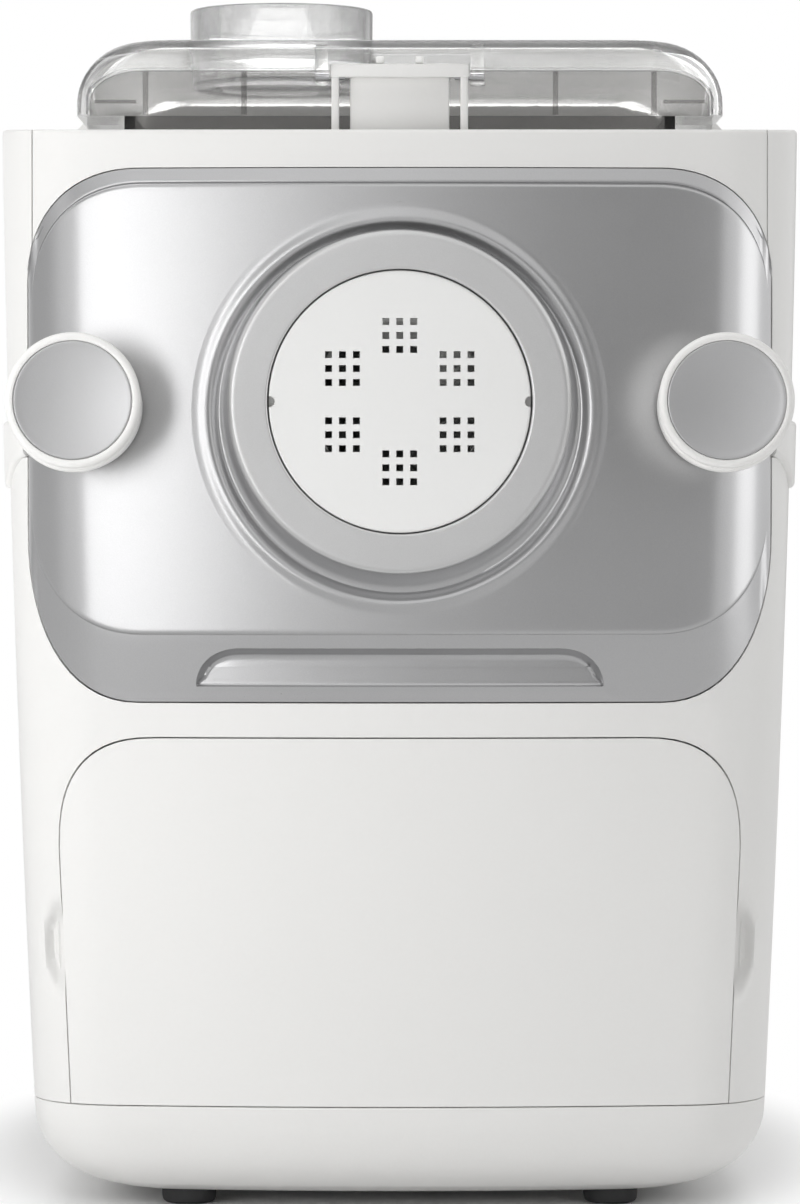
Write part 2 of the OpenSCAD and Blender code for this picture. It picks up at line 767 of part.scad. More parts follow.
function panel_edge(x, half, z, a, b, p, up) = let (t = max(0, (abs(x) - half + a) / a))
    z - up * b * (1 - pow(max(0, 1 - pow(min(1, t), p)), 1 / p));

// One upright slice through the silver panel: back edge, then the front with its raised face
function panel_slice(x) =
    let (top = panel_edge(x, panel_half, panel_high, 33, 33, corner_p, 1),
         low = panel_edge(x, panel_half, panel_low, 33, 50, corner_p, -1),
         f_half = panel_half - 1.2,
         f_top = min(top - 2, panel_edge(x, f_half, face_high, 32, 33, corner_p, 1)),
         f_low = max(low + 2, panel_edge(x, f_half, face_low, 32, 36, corner_p, -1)),
         up = face_raise * pow(max(0, 1 - pow(abs(x) / panel_half, 14)), 0.5))
    [for (q = [[low, 2.5], [f_low, 2.5], [f_top, 2.5], [top, 2.5], [top, 0], [f_top + 1.8, 0],
            [f_top + 0.4, -up * 0.8], [f_top - 1.2, -up],
            [f_low + 1.2, -up], [f_low - 0.6, -up * 0.8], [f_low - 1.8, 0], [low, 0]])
        [x, front_y(x, q[0]) + q[1], q[0]]];

module grip_shape() {
    polygon(panel_shape(grip_half, grip_low, grip_high, 11, 9, 1, 2.2));
}

module front_panel() {
    stations = [for (i = [-16:16]) panel_half * 0.999 * sin(90 * i / 16)];
    color(silver) {
        difference() {
            loft([for (x = stations) panel_slice(x)]);
            bar_y(0, axis_z - channel_drop, -200, -120, 56.5);
            deep(-200, -150) grip_shape();
            for (side = [-1, 1]) bar_y(side * knob_x, axis_z, -200, -120, 9);
        }
        // The channel round the nozzle, with a rim that rolls over its outer edge
        difference() {
            turned(0, axis_z - channel_drop) polygon([[41, 159], [58.4, 159], [58.4, 165.6], [57.8, 167.4],
                [56.6, 168.4], [55.4, 168.2], [54.4, 167], [53.7, 164.8], [channel_r, 162.4],
                [channel_r - 1, 161.5], [41, 161.5]]);
            bar_y(0, axis_z, -200, -120, 45.5);
        }
        // Pocket behind the finger grip
        difference() {
            deep(-161.8, -157.8)
                polygon(panel_shape(grip_half + 2, grip_low - 2, grip_high + 2, 12, 10, 2, 2.2));
            deep(-170, -159.4) grip_shape();
        }
    }
}

module top_trim() {
    color(white) intersection() {
        difference() {
            rolled_body(270, 2);
            body_block(268, body_top + 2, 3, 2);
        }
        deep(-220, -130) difference() {
            top_shape();
            silver_shape(0.3);
        }
    }
}

module panel_carrier() {
    color(white) difference() {
        union() {
            intersection() {
                body_block(panel_low + 3, body_top - 2, 3.1, 3);
                block(-104, 104, -200, -151.5, 0, 400);
                deep(-200, -140) {
                    silver_shape(-0.4);
                    top_shape(-0.4);
                }
            }
            // Bosses that come through the silver panel and guide the lock shafts
            for (side = [-1, 1]) bar_y(side * knob_x, axis_z, -166.6, -151.5, 8.6);
        }
        bar_y(0, axis_z, -200, -100, 46);
        bar_y(0, axis_z - channel_drop, -200, -158.6, 59.4);
        block(-22, 22, -158.6, -140, 280, 400);
        block(-26.5, 26.5, -158.2, -140, 322, 400);
        block(-well_half - 1, well_half + 1, -153.8, -140, 0, 400);
        block(-grip_half - 3, grip_half + 3, -200, -157.5, 140, grip_high + 3);
        for (side = [-1, 1]) bar_y(side * knob_x, axis_z, -200, -100, shaft_r + 0.05);
    }
}

module nozzle_ring() {
    color(silver) turned(0, axis_z) polygon([[disc_r + 0.6, ring_front], [ring_r - 1, ring_front],
        [ring_r - 0.3, ring_front - 0.3], [ring_r, ring_front - 1], [ring_r, 161.5], [disc_r + 0.6, 161.5]]);
}

// White arm behind a knob: a tongue behind the silver panel and an ear that wraps round the housing's corner
module latch_arm(side) {
    color(white) {
        intersection() {
            difference() {
                body_block(200, 245, -1.6, 1);
                body_block(198, 247, 2, 1);
            }
            arm_window(0);
            block(side > 0 ? panel_half + 0.4 : -140, side > 0 ? 140 : -panel_half - 0.4, -200, -100, 0, 400);
        }
        intersection() {
            difference() {
                translate([0, 2.9, 0]) body_block(200, 245, 0, 1);
                translate([0, 6.2, 0]) body_block(198, 247, 0, 1);
            }
            block(side > 0 ? 97 : -113.2, side > 0 ? 113.2 : -97, -151.5, -130, arm_low + 1, tongue_high);
        }
    }
}
module left_latch_arm() { latch_arm(-1); }
module right_latch_arm() { latch_arm(1); }

// Knob: a drum with a rolled front rim and a low lobe, hollow behind, with a recess for the cap
module knob(side) {
    f = knob_front;
    color(white) difference() {
        union() {
            turned(side * knob_x, axis_z) polygon([[0, 167], [17.4, 167], [17.8, 168], [18.4, f - 6],
                [18.5, f - 4], [knob_r - 0.2, f - 3.2], [knob_r, f - 2], [knob_r - 0.3, f - 0.7],
                [knob_r - 1, f], [0, f]]);
            turned(side * knob_x, axis_z - 1.5) polygon([[0, 167.5], [17.2, 167.5], [18.2, 169], [18.8, f - 9],
                [17.6, f - 6], [0, f - 6]]);
        }
        bar_y(side * knob_x, axis_z, -f - 1, -f + 2.6, cap_r + 0.15);
        bar_y(side * knob_x, axis_z, -200, -150, shaft_r);
        tube_y(side * knob_x, axis_z, -f + 8, -160, 15, 9);
    }
}
module left_knob() { knob(-1); }
module right_knob() { knob(1); }

module knob_cap(side) {
    f = knob_front;
    color(silver) turned(side * knob_x, axis_z) polygon(concat(
        [[0, f - 2.5], [cap_r, f - 2.5], [cap_r, f - 0.5], [cap_r - 0.5, f]],
        [for (i = [1:6]) let (r = (cap_r - 0.5) * (1 - i / 6)) [r, f - 0.7 * (1 - pow(r / cap_r, 2))]]));
}
module left_knob_cap() { knob_cap(-1); }
module right_knob_cap() { knob_cap(1); }

module lock_shaft(side) {
    x = side * knob_x;
    color("#c9ccd0") {
        bar_y(x, axis_z, -knob_front + 2.7, -144, shaft_r);
        block(x - shaft_r, x + shaft_r, -144, -140, axis_z - lock_bar, axis_z + lock_bar);
    }
}
module left_lock_shaft() { lock_shaft(-1); }
module right_lock_shaft() { lock_shaft(1); }

// Face of a shaping disc: six clusters of square holes
module disc_face() {
    difference() {
        circle(r = disc_r);
        for (a = [30:60:330]) translate([cluster_r * cos(a), cluster_r * sin(a)])
            for (i = [-1:1], j = [-1:1])
                translate([i * hole_pitch, j * hole_pitch]) square(hole_side, center = true);
    }
}

module shaping_disc() {
    color("#f0efec") difference() {
        union() {
            translate([0, 0, axis_z]) deep(-disc_front, -disc_front + 5) disc_face();
            tube_y(0, axis_z, -disc_front + 5, -157, disc_r, 30);
            tube_y(0, axis_z, -161.2, -154.8, 41, 34);
        }
        for (side = [-1, 1]) bar_y(side * disc_r, axis_z, -200, -disc_front + 1.6, 1.2);
    }
}

// ---- lid and cup ----

module lid_plan(d) {
    translate([0, 0, 300]) linear_extrude(60)
        round_rect(-lid_half + d, lid_half - d, -158.6 + d, 64.2 - d, 10 - d);
}

module lid() {
    hole_r = cup_r + 0.4;
    color(clear) {
        difference() {
            intersection() {
                deep(-160, 66) arch_shape(0, flange_z + 0.2);
                lid_plan(0);
            }
            intersection() {
                deep(-160, 66) arch_shape(2.5, 300);
                lid_plan(2.5);
            }
            // The front rim is open below its arch, where the chamber's own front wall stands
            deep(-170, -140) for (shift = [-2, 0.3])
                translate([0, shift]) offset(delta = 0.3) front_wall_shape();
            translate([cup_x, cup_y, 300]) cylinder(r = hole_r, h = 60);
            // Notch for the hinge bracket
            block(-20.6, 20.6, -170, -152, 300, 336.6);
        }
        for (side = [-1, 1]) hinge_lug(side);
    }
}

module hinge_lug(side) {
    x = side > 0 ? 20.6 : -24.6;
    difference() {
        union() {
            hinge_bar(x, x + 4, lug_r);
            block(x, x + 4, hinge_y - lug_r, hinge_y + lug_r, hinge_z, 338.6);
        }
        hinge_bar(x - 1, x + 5, pin_r + 0.05);
    }
}

module water_cup() {
    color(clear) translate([cup_x, cup_y, 0]) rotate_extrude() polygon([[8, 330.5], [cup_r - 1.6, 330.5],
        [cup_r - 0.6, 331.5], [cup_r - 0.4, lid_top + 0.2], [cup_r + 2.4, lid_top + 0.2],
        [cup_r + 2.4, lid_top + 1.8],
        [cup_r - 0.2, lid_top + 1.8], [cup_r, cup_top - 0.6], [cup_r - 0.6, cup_top], [cup_r - 2, cup_top],
        [cup_r - 2.6, 332.7], [8, 332.7]]);
}

// ---- drawer ----

module drawer_front() {
    color(white) intersection() {
        difference() {
            body_block(seam_z - 1, 145, 0, 4);
            body_block(seam_z - 2, 146, 3, 4);
        }
        deep(-220, -143) drawer_shape();
    }
}

module drawer_tray() {
    color(white) difference() {
        block(-86, 86, -153, 42, seam_z + 5, 126);
        block(-84, 84, -151, 40, seam_z + 7, 130);
        block(-60, 60, -160, -140, 118, 130);
    }
    // Ribs that join the tray to the drawer front
    color(white) for (x = [-62, 0, 62]) block(x - 1.5, x + 1.5, front_y(x, 50) + 3.4, -153, 50, 112);
}

module disc_rack() {
    color("#d5d6d6") difference() {
        block(-84, 84, -142, -48, seam_z + 7, seam_z + 22);
        for (x = rack_x, y = rack_y) bar_y(x, seam_z + 10 + disc_flange_r, y - 9, y + 6.6, disc_flange_r + 0.4);
    }
}

// One spare disc: 0 plain slots, 1 round holes, 2 one wide slot
module spare_disc(x, y, kind) {
    z = seam_z + 10 + disc_flange_r;
    difference() {
        union() {
            bar_y(x, z, y - 8.6, y, disc_r);
            tube_y(x, z, y, y + 6, disc_flange_r, 34);
        }
        if (kind == 0) for (i = [-2:2]) block(x + i * 9 - 1, x + i * 9 + 1, y - 10, y + 1, z - 16, z + 16);
        if (kind == 1) for (a = [0:45:315]) bar_y(x + 21 * cos(a), z + 21 * sin(a), y - 10, y + 1, 3);
        if (kind == 2) for (s = [-12, 12]) block(x - 24, x + 24, y - 10, y + 1, z + s - 0.8, z + s + 0.8);
    }
}

module spare_discs() {
    color("#f0efec") for (i = [0:1], j = [0:2]) spare_disc(rack_x[i], rack_y[j], (i + j) % 3);
}

base_shell();
rubber_feet();
side_housing();
drawer_bay();
chamber_well();
front_bulkhead();
control_housing();
control_fascia();
display_lens();
control_board();
power_board();
motor_body();
motor_mount();
gearbox_case();
gearbox_cover();
bearings();
power_inlet();
housing_screws();
mixing_chamber();
chamber_bracket();
shaft_seal();
extruder_tube();
lid_hinge_pins();
output_shaft();
output_gear();
mixing_paddle();
extrusion_screw();
layshaft();
layshaft_gears();
motor_shaft();
motor_pinion();
cooling_fan();
front_panel();
top_trim();
panel_carrier();
nozzle_ring();
left_latch_arm();
right_latch_arm();
left_knob();
left_knob_cap();
left_lock_shaft();
right_knob();
right_knob_cap();
right_lock_shaft();
shaping_disc();
lid();
water_cup();
drawer_front();
drawer_tray();
disc_rack();
spare_discs();
power_button();
start_button();
menu_button();
plus_button();
minus_button();
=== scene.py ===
import bpy
import bmesh
import json
import math
import numpy as np
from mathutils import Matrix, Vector


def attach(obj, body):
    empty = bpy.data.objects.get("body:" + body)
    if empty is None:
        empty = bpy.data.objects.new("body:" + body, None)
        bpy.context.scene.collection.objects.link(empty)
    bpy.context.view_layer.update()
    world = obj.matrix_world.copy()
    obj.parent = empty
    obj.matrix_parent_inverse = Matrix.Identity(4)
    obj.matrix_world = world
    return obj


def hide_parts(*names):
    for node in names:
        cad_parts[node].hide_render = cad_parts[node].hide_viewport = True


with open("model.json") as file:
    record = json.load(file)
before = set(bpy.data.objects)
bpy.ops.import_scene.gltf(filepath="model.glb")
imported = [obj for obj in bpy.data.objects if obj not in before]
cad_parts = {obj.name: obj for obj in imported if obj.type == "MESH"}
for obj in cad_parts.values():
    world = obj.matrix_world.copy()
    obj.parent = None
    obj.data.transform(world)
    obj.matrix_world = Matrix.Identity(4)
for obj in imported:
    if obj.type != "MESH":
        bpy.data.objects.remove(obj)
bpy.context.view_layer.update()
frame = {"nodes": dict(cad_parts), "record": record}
scene = bpy.context.scene
mm = 0.001          # lengths below are in millimetres, meshes in metres
print("frame loaded:", len(frame["nodes"]), "nodes")

# dimensions that several pieces share

body = dict(topWidth=234, seamWidth=215, front=165, back=198, top=314, seam=32.3, wall=3, frontRadius=28,
            rearRadius=34, bow=math.radians(7), topRound=1.2, gap=0.4, lift=2.2, liftDepth=34, liftFade=14)
panel = dict(low=149, high=302.9, half=108, raised=3.5, faceLow=169, faceHigh=298, corner=2.2, cornerWide=33,
             cornerHigh=33, cornerLow=50, trimHalf=106.6, trimSeam=0.3, lowSlope=2.5, topSlope=0.8, stepGap=1.3)
drawer = dict(top=138.4, half=98.6, cornerWide=29, cornerHigh=32, corner=2.6, footIn=3.4, wall=3)
ear = dict(low=210.6, high=230.4, back=-108, round=9, proud=1.6, drop=9.4, sweep=15, perPlan=17, thick=2)
nozzle = dict(height=235.5, channelHeight=232.9, discRadius=37.7, ringRadius=49.6, discFront=170)
lidSize = dict(top=340.6, half=94, low=319, front=-158.6, back=64.2, wall=2.5, archWide=20, archHigh=18, corner=10,
               rolled=3.2)


# helpers for shapes

def smoothLine(knots, steps):
    # Catmull-Rom: p(t) = 0.5 (2b + (c - a)t + (2a - 5b + 4c - d)t^2 + (3b - a - 3c + d)t^3)
    k = np.asarray(knots, float)
    k = np.vstack([2 * k[0] - k[1], k, 2 * k[-1] - k[-2]])
    u = np.linspace(0, len(k) - 3, steps)
    i = np.minimum(u.astype(int), len(k) - 4)
    t = (u - i)[:, None]
    a, b, c, d = k[i], k[i + 1], k[i + 2], k[i + 3]
    return 0.5 * (2 * b + (c - a) * t + (2 * a - 5 * b + 4 * c - d) * t ** 2 + (3 * b - a - 3 * c + d) * t ** 3)


def held(t):
    # a fraction held between 0 and 1
    return np.clip(t, 0, 1)


def superEdge(t, power):
    # quarter super-ellipse: the height left at the fraction t of its width, (1 - t^p)^(1/p)
    return (1 - held(t) ** power) ** (1 / power)


def quarter(cx, cz, wide, high, steps):
    # a quarter ellipse about (cx, cz) from its side to its top: cx + wide cos(a), cz + high sin(a)
    a = np.linspace(0, math.pi / 2, steps)
    return np.column_stack([cx + wide * np.cos(a), cz + high * np.sin(a)])


def spans(places, counts):
    # places with evenly spaced values between them, counts of steps from each to the next
    parts = [np.linspace(a, b, n + 1)[1:] for a, b, n in zip(places, places[1:], counts)]
    return np.concatenate([places[:1], *parts])


def halfWidth(z):
    # w = seam/2 + (top - seam)/2 (1.5t - 0.5t^2), t the height above the seam as a fraction
    t = (np.asarray(z, float) - body["seam"]) / (body["top"] - body["seam"])
    return body["seamWidth"] / 2 + (body["topWidth"] - body["seamWidth"]) / 2 * (1.5 * t - 0.5 * t * t)


def planNumbers(z, d):
    # half width h, corner radius r, bow end x1, bow curve k and corner centre yc of the plan pulled in by d
    h, r, bow = halfWidth(z) - d, body["frontRadius"] - d, body["bow"]
    x1 = h - r * (1 - math.sin(bow))
    k = math.tan(bow) / (2 * x1)
    return h, r, x1, k, k * x1 ** 2 + r * math.cos(bow) - body["front"] + d


def topLift(y, z):
    # the housing's upper edge climbs by lift over liftDepth from the front, less and less over liftFade below the top
    near = held((z - body["top"] + body["liftFade"]) / body["liftFade"])
    return body["lift"] * held((y + body["front"]) / body["liftDepth"]) * near


def bodyPoint(p, z, d=0.0):
    # p is 0-1 on half the front, 1-2 on its corner, 2-3 on the side, 3-4 on the rear corner, 4-5 on half the rear;
    # -p mirrors the point
    h, r, x1, k, yc = planNumbers(z, d)
    q, back, rr = np.abs(p), body["back"] - d, body["rearRadius"] - d
    a = body["bow"] + (math.pi / 2 - body["bow"]) * held(q - 1)
    g = math.pi / 2 * held(q - 3)
    x = np.where(q <= 1, q * x1, np.where(q <= 2, h - r + r * np.sin(a), np.where(
        q <= 3, h, np.where(q <= 4, h - rr + rr * np.cos(g), (h - rr) * (5 - q)))))
    y = np.where(q <= 1, k * (q * x1) ** 2 - body["front"] + d, np.where(q <= 2, yc - r * np.cos(a), np.where(
        q <= 3, yc + (q - 2) * (back - rr - yc), back - rr + rr * np.sin(g))))
    return join(np.sign(p) * x, y, z)


def planAtX(x, z, d=0.0):
    # the plan parameter p of the front surface at x
    h, r, x1 = planNumbers(z, d)[:3]
    bow = body["bow"]
    a = np.arcsin(np.clip((np.abs(x) - h + r) / r, -1, 1))
    return np.where(np.abs(x) <= x1, np.abs(x) / x1, 1 + (a - bow) / (math.pi / 2 - bow))


def planAtY(y, z, d=0.0):
    # the plan parameter p of the side at y
    yc = planNumbers(z, d)[4]
    return 2 + (y - yc) / (body["back"] - body["rearRadius"] - yc)


def frontY(x, z, d=0.0):
    # y of the front surface at (x, z)
    return bodyPoint(planAtX(x, z, d), z, d)[..., 1]


def silverEdge(z, grow=0.0):
    # half width of the silver outline at height z: straight sides between super-elliptic corners
    low = panel["low"] - grow + panel["cornerLow"]
    high = panel["high"] + grow - panel["cornerHigh"]
    t = np.maximum((low - z) / panel["cornerLow"], (z - high) / panel["cornerHigh"])
    return panel["half"] + grow - panel["cornerWide"] * (1 - superEdge(np.maximum(t, 0), panel["corner"]))


def drawerEdge(z, grow=0.0):
    # half width of the drawer outline at height z: slanting sides below super-elliptic top corners
    start = drawer["top"] + grow - drawer["cornerHigh"]
    side = drawer["half"] + grow - drawer["footIn"] * held((start - z) / (start - body["seam"]))
    t = np.maximum((z - start) / drawer["cornerHigh"], 0)
    return side - drawer["cornerWide"] * (1 - superEdge(t, drawer["corner"]))


def join(x, y, z):
    # points from the arrays of their coordinates
    return np.stack(np.broadcast_arrays(x, y, z), -1)


def rectangle(x0, x1, y0, y1):
    # the four corners in turn
    return np.array([[x0, y0], [x1, y0], [x1, y1], [x0, y1]], float)


def plate(outline, z0, z1):
    # an (x, y) outline at two heights
    return join(*outline.T, np.array([[z0], [z1]]))


def prism(outline, y0, y1):
    # an (x, z) outline carried along Y
    return join(outline[:, 0], np.array([[y0], [y1]]), outline[:, 1])


def addObject(name, data):
    # a new object in the scene
    o = bpy.data.objects.new(name, data)
    scene.collection.objects.link(o)
    return o


class Shape:
    # collects grids of points and makes one mesh of them
    def __init__(self):
        self.points, self.faces, self.count = [], [], 0

    def grid(self, p, loopRows=False, loopCols=False, keep=None, caps=(), flip=False):
        # face (i, j) joins the points (i, j), (i, j+1), (i+1, j+1), (i+1, j)
        rows, cols = p.shape[:2]
        i, j = np.meshgrid(np.arange(rows - (not loopRows)), np.arange(cols - (not loopCols)), indexing="ij")
        i2, j2 = (i + 1) % rows, (j + 1) % cols
        f = np.stack([i * cols + j, i * cols + j2, i2 * cols + j2, i2 * cols + j], -1)
        f = (f[keep] if keep is not None else f.reshape(-1, 4)) + self.count
        self.faces += (f[:, ::-1] if flip else f).tolist()
        for row in caps:
            ring = self.count + (rows - 1 if row else 0) * cols + np.arange(cols)
            self.faces.append((ring if bool(row) != flip else ring[::-1]).tolist())
        self.points.append(p.reshape(-1, 3))
        self.count += rows * cols
        return self

    def closed(self, p):
        # a grid whose columns run round, with a face over its first and last row
        return self.grid(p, loopCols=True, caps=(0, 1))

    def ring(self, p):
        # a grid that runs round both ways
        return self.grid(p, loopCols=True, loopRows=True)

    def boxes(self, corners):
        # closed boxes from rows of x0, x1, y0, y1, z0, z1
        for x0, x1, y0, y1, z0, z1 in corners:
            self.closed(plate(rectangle(x0, x1, y0, y1), z0, z1))
        return self

    def slab(self, outer, inner):
        # two sheets and the four strips between their edges
        self.grid(outer).grid(inner, flip=True)
        for edge in (np.s_[0], np.s_[-1], np.s_[:, 0], np.s_[:, -1]):
            self.grid(np.stack([outer[edge], inner[edge]]))
        return self

    def mesh(self, name, outward=True):
        # one mesh in metres with its doubles merged
        me = bpy.data.meshes.new(name)
        me.from_pydata((np.vstack(self.points) * mm).tolist(), [], self.faces)
        bm = bmesh.new()
        bm.from_mesh(me)
        bmesh.ops.remove_doubles(bm, verts=bm.verts, dist=2e-6)
        if outward:
            bmesh.ops.recalc_face_normals(bm, faces=bm.faces)
        bm.to_mesh(me)
        bm.free()
        return me

    def piece(self, name, bodyName, nodes, slot, material=None, outward=True, smooth=40):
        # the mesh as an object that rides on a body and takes the place of CAD nodes
        o = addObject(name, self.mesh(name, outward))
        o.data.materials.append(material or slotFinish[slot])
        shade(o, smooth)
        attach(o, bodyName)
        if nodes:
            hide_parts(*nodes)
        return o

    def sheet(self, thickness, bevel, *names, even=True):
        # a piece that gets a wall on its inner side, with rounded edges
        o = self.piece(*names, outward=False)
        addModifier(o, "SOLIDIFY", thickness=thickness * mm, offset=-1, use_even_offset=even)
        if bevel:
            roundEdges(o, bevel)
        else:
            settle(o)
        return o


def shade(o, angle):
    # smooth shading, sharp where two faces meet at more than the angle in degrees
    o.data.shade_smooth()
    o.data.set_sharp_from_angle(angle=math.radians(angle))


def addModifier(o, kind, **settings):
    # a modifier with the given settings
    m = o.modifiers.new(kind.lower(), kind)
    for key, value in settings.items():
        setattr(m, key, value)
    return m


def settle(o, smooth=40):
    # applies the modifiers
    done = bpy.data.meshes.new_from_object(o.evaluated_get(bpy.context.evaluated_depsgraph_get()))
    o.modifiers.clear()
    o.data = done
    shade(o, smooth)


def cutOut(o, *cutters, smooth=40):
    # takes closed shapes away from a piece
    for shape in cutters:
        c = addObject("cutter", shape.mesh("cutter"))
        addModifier(o, "BOOLEAN", operation="DIFFERENCE", object=c, solver="EXACT")
        settle(o, smooth)
        bpy.data.objects.remove(c)


def roundEdges(o, width):
    # rounds the edges that are sharper than 55 degrees
    addModifier(o, "BEVEL", width=width * mm, segments=3, limit_method="ANGLE", angle_limit=math.radians(55))
    addModifier(o, "WEIGHTED_NORMAL", keep_sharp=True)
    settle(o)


def lathe(profile, x, v, turns, upright=False):
    # rows (radius r, distance f) turned to x + r cos(a), v + r sin(a), with f forward along Y, or up when upright
    q = np.asarray(profile, float)
    a = np.linspace(0, 2 * math.pi, turns, endpoint=False)
    across, other, f = x + q[:, 0, None] * np.cos(a), v + q[:, 0, None] * np.sin(a), q[:, 1, None]
    return join(across, other, f) if upright else join(across, -f, other)


# materials

rayKinds = dict(camera=0, glossy=3, transmission=6)


def grey(level):
    # an opaque grey
    return level, level, level, 1


class Wire:
    # wraps a shader socket, so that maths on it adds nodes
    def __init__(self, tree, socket):
        self.tree, self.socket = tree, socket

    def add(self, kind, settings=None, out=0, **inputs):
        # a node with its settings, then its sockets by name or, as i0, i1 and so on, by number
        n = self.tree.nodes.new(kind)
        for key, value in (settings or {}).items():
            if key == "stops":
                ramp = n.color_ramp
                while len(ramp.elements) < len(value):
                    ramp.elements.new(0.5)
                for e, (place, level) in zip(ramp.elements, value):
                    e.position, e.color = place, grey(level)
            else:
                setattr(n, key, value)
        for key, value in inputs.items():
            target = n.inputs[int(key[1:]) if key[0] == "i" else key]
            if isinstance(value, Wire):
                value.into(target)
            else:
                target.default_value = value
        return Wire(self.tree, n.outputs[out])

    def into(self, target):
        # links this to an input
        self.tree.links.new(self.socket, target)

    def maths(self, operation, a, b):
        # a Math node on two values or wires
        return self.add("ShaderNodeMath", dict(operation=operation), i0=a, i1=b)

    def __add__(self, o): return self.maths("ADD", self, o)
    def __radd__(self, o): return self.maths("ADD", o, self)
    def __sub__(self, o): return self.maths("SUBTRACT", self, o)
    def __rsub__(self, o): return self.maths("SUBTRACT", o, self)
    def __mul__(self, o): return self.maths("MULTIPLY", self, o)
    def __rmul__(self, o): return self.maths("MULTIPLY", o, self)

    def mixed(self, colourA, colourB):
        # colourA where this is 0, colourB where it is 1
        return self.add("ShaderNodeMix", dict(data_type="RGBA"), out=2, i0=self, i6=colourA, i7=colourB)

    def stepped(self, low, high):
        # 0 below low, 1 above high, 3t^2 - 2t^3 between them
        return self.add("ShaderNodeMapRange", dict(interpolation_type="SMOOTHSTEP"), Value=self, i1=low, i2=high)

    def ray(self, *kinds):
        # 1 for the given kinds of ray, 0 for the others
        first, *others = [self.add("ShaderNodeLightPath", out=rayKinds[kind]) for kind in kinds]
        for other in others:
            first = self.maths("MAXIMUM", first, other)
        return first


def finish(name, colour, colourLight=None, rough=0.4, roughSpread=0.08, metallic=0.0, bump=0.02, grain=900, patches=9,
           wear=0.5, fixed=None):
    # one moulded, painted or cast finish: slow patches of colour, fine grain in colour, roughness and bump, and
    # edges that handling has made lighter and smoother
    m = bpy.data.materials.new(name)
    m.use_nodes = True
    tree = m.node_tree
    shader = tree.nodes["Principled BSDF"]
    wire = Wire(tree, None)
    place = wire.add("ShaderNodeTexCoord", out=3)
    slow = wire.add("ShaderNodeTexNoise", Vector=place, Scale=patches, Detail=3.0)
    fine = wire.add("ShaderNodeTexNoise", Vector=place, Scale=grain, Detail=2.0)
    edge = wire.add("ShaderNodeNewGeometry", out=7).stepped(0.54, 0.62) * slow      # output 7 is the pointiness
    mask = slow * 0.6 + fine * 0.4 + edge * wear
    light = colourLight or tuple(min(1, c * 1.05) for c in colour)
    mask.mixed((*colour, 1), (*light, 1)).into(shader.inputs["Base Color"])
    roughness = rough - roughSpread + (slow + fine) * roughSpread - edge * (wear * 0.1)
    roughness.into(shader.inputs["Roughness"])
    wire.add("ShaderNodeBump", Strength=bump, Distance=0.0004, Height=fine).into(shader.inputs["Normal"])
    shader.inputs["Metallic"].default_value = metallic
    for key, value in (fixed or {}).items():
        shader.inputs[key].default_value = value
    return m


def clearFinish(name, colour, colourLight, rough, roughSpread, refraction, alpha=1.0):
    # a clear plastic; the part 1 - alpha of the light goes straight through
    return finish(name, colour, colourLight, rough, roughSpread, bump=0.01,
                  fixed={"Transmission Weight": 1.0, "IOR": refraction, "Alpha": alpha})


# the finish of each slot, then those of single pieces
slotFinish = dict(
    white_plastic=finish("whiteHousingPlastic", (0.80, 0.795, 0.78), (0.84, 0.835, 0.82), rough=0.34, bump=0.05),
    silver_paint=finish("silverPaint", (0.48, 0.48, 0.485), (0.64, 0.64, 0.645), rough=0.3, roughSpread=0.05,
                        metallic=0.92, bump=0.05, grain=2600, patches=14, wear=0.15),
    clear_plastic=clearFinish("clearPlastic", (0.945, 0.945, 0.94), (0.98, 0.98, 0.975), 0.03, 0.015, 1.42, 0.84),
    disc_plastic=finish("discPlastic", (0.80, 0.80, 0.79), rough=0.42, bump=0.03),
    rubber=finish("footRubber", (0.03, 0.03, 0.031), (0.05, 0.05, 0.051), rough=0.75, bump=0.2),
    dark_gloss=finish("controlGloss", (0.022, 0.023, 0.025), rough=0.3, fixed={"Specular IOR Level": 0.3}),
    display_lens=finish("displayLens", (0.004, 0.005, 0.007), rough=0.06, roughSpread=0.02, bump=0.0,
                        fixed={"Specular IOR Level": 0.4}),
    bare_steel=finish("bareSteel", (0.55, 0.55, 0.56), rough=0.28, metallic=1.0, bump=0.05),
    gear_plastic=finish("gearPlastic", (0.66, 0.58, 0.40), rough=0.5, bump=0.05),
    board=finish("boardGreen", (0.03, 0.13, 0.06), bump=0.05),
    cast_metal=finish("castMetal", (0.35, 0.36, 0.37), rough=0.55, metallic=0.9, bump=0.3, grain=500),
    dark_plastic=finish("darkPlastic", (0.035, 0.036, 0.04), rough=0.5, bump=0.08),
    light_plastic=finish("toolPlastic", (0.74, 0.74, 0.73), rough=0.42, bump=0.04),
    seal_rubber=finish("sealRubber", (0.12, 0.125, 0.13), rough=0.7, bump=0.1),
    key_plastic=finish("keyPlastic", (0.66, 0.66, 0.65), bump=0.04))
knobPlastic = finish("knobPlastic", (0.82, 0.815, 0.80), rough=0.3, bump=0.03)
# the ring's silver is a lighter copy of the panel's paint: a painted reflection that brightens the annulus
ringPaintedSheen = finish("ringPaintedSheen", (0.62, 0.62, 0.62), (0.76, 0.76, 0.76), rough=0.34, roughSpread=0.05, metallic=0.85,
                   bump=0.05, grain=2600, patches=14)
capMetal = finish("capMetal", (0.54, 0.54, 0.545), (0.62, 0.62, 0.625), rough=0.38, metallic=0.85, bump=0.05,
                  grain=2300)
cupPlastic = clearFinish("cupPlastic", (0.98, 0.98, 0.98), (1.0, 1.0, 1.0), 0.02, 0.01, 1.36, 0.7)
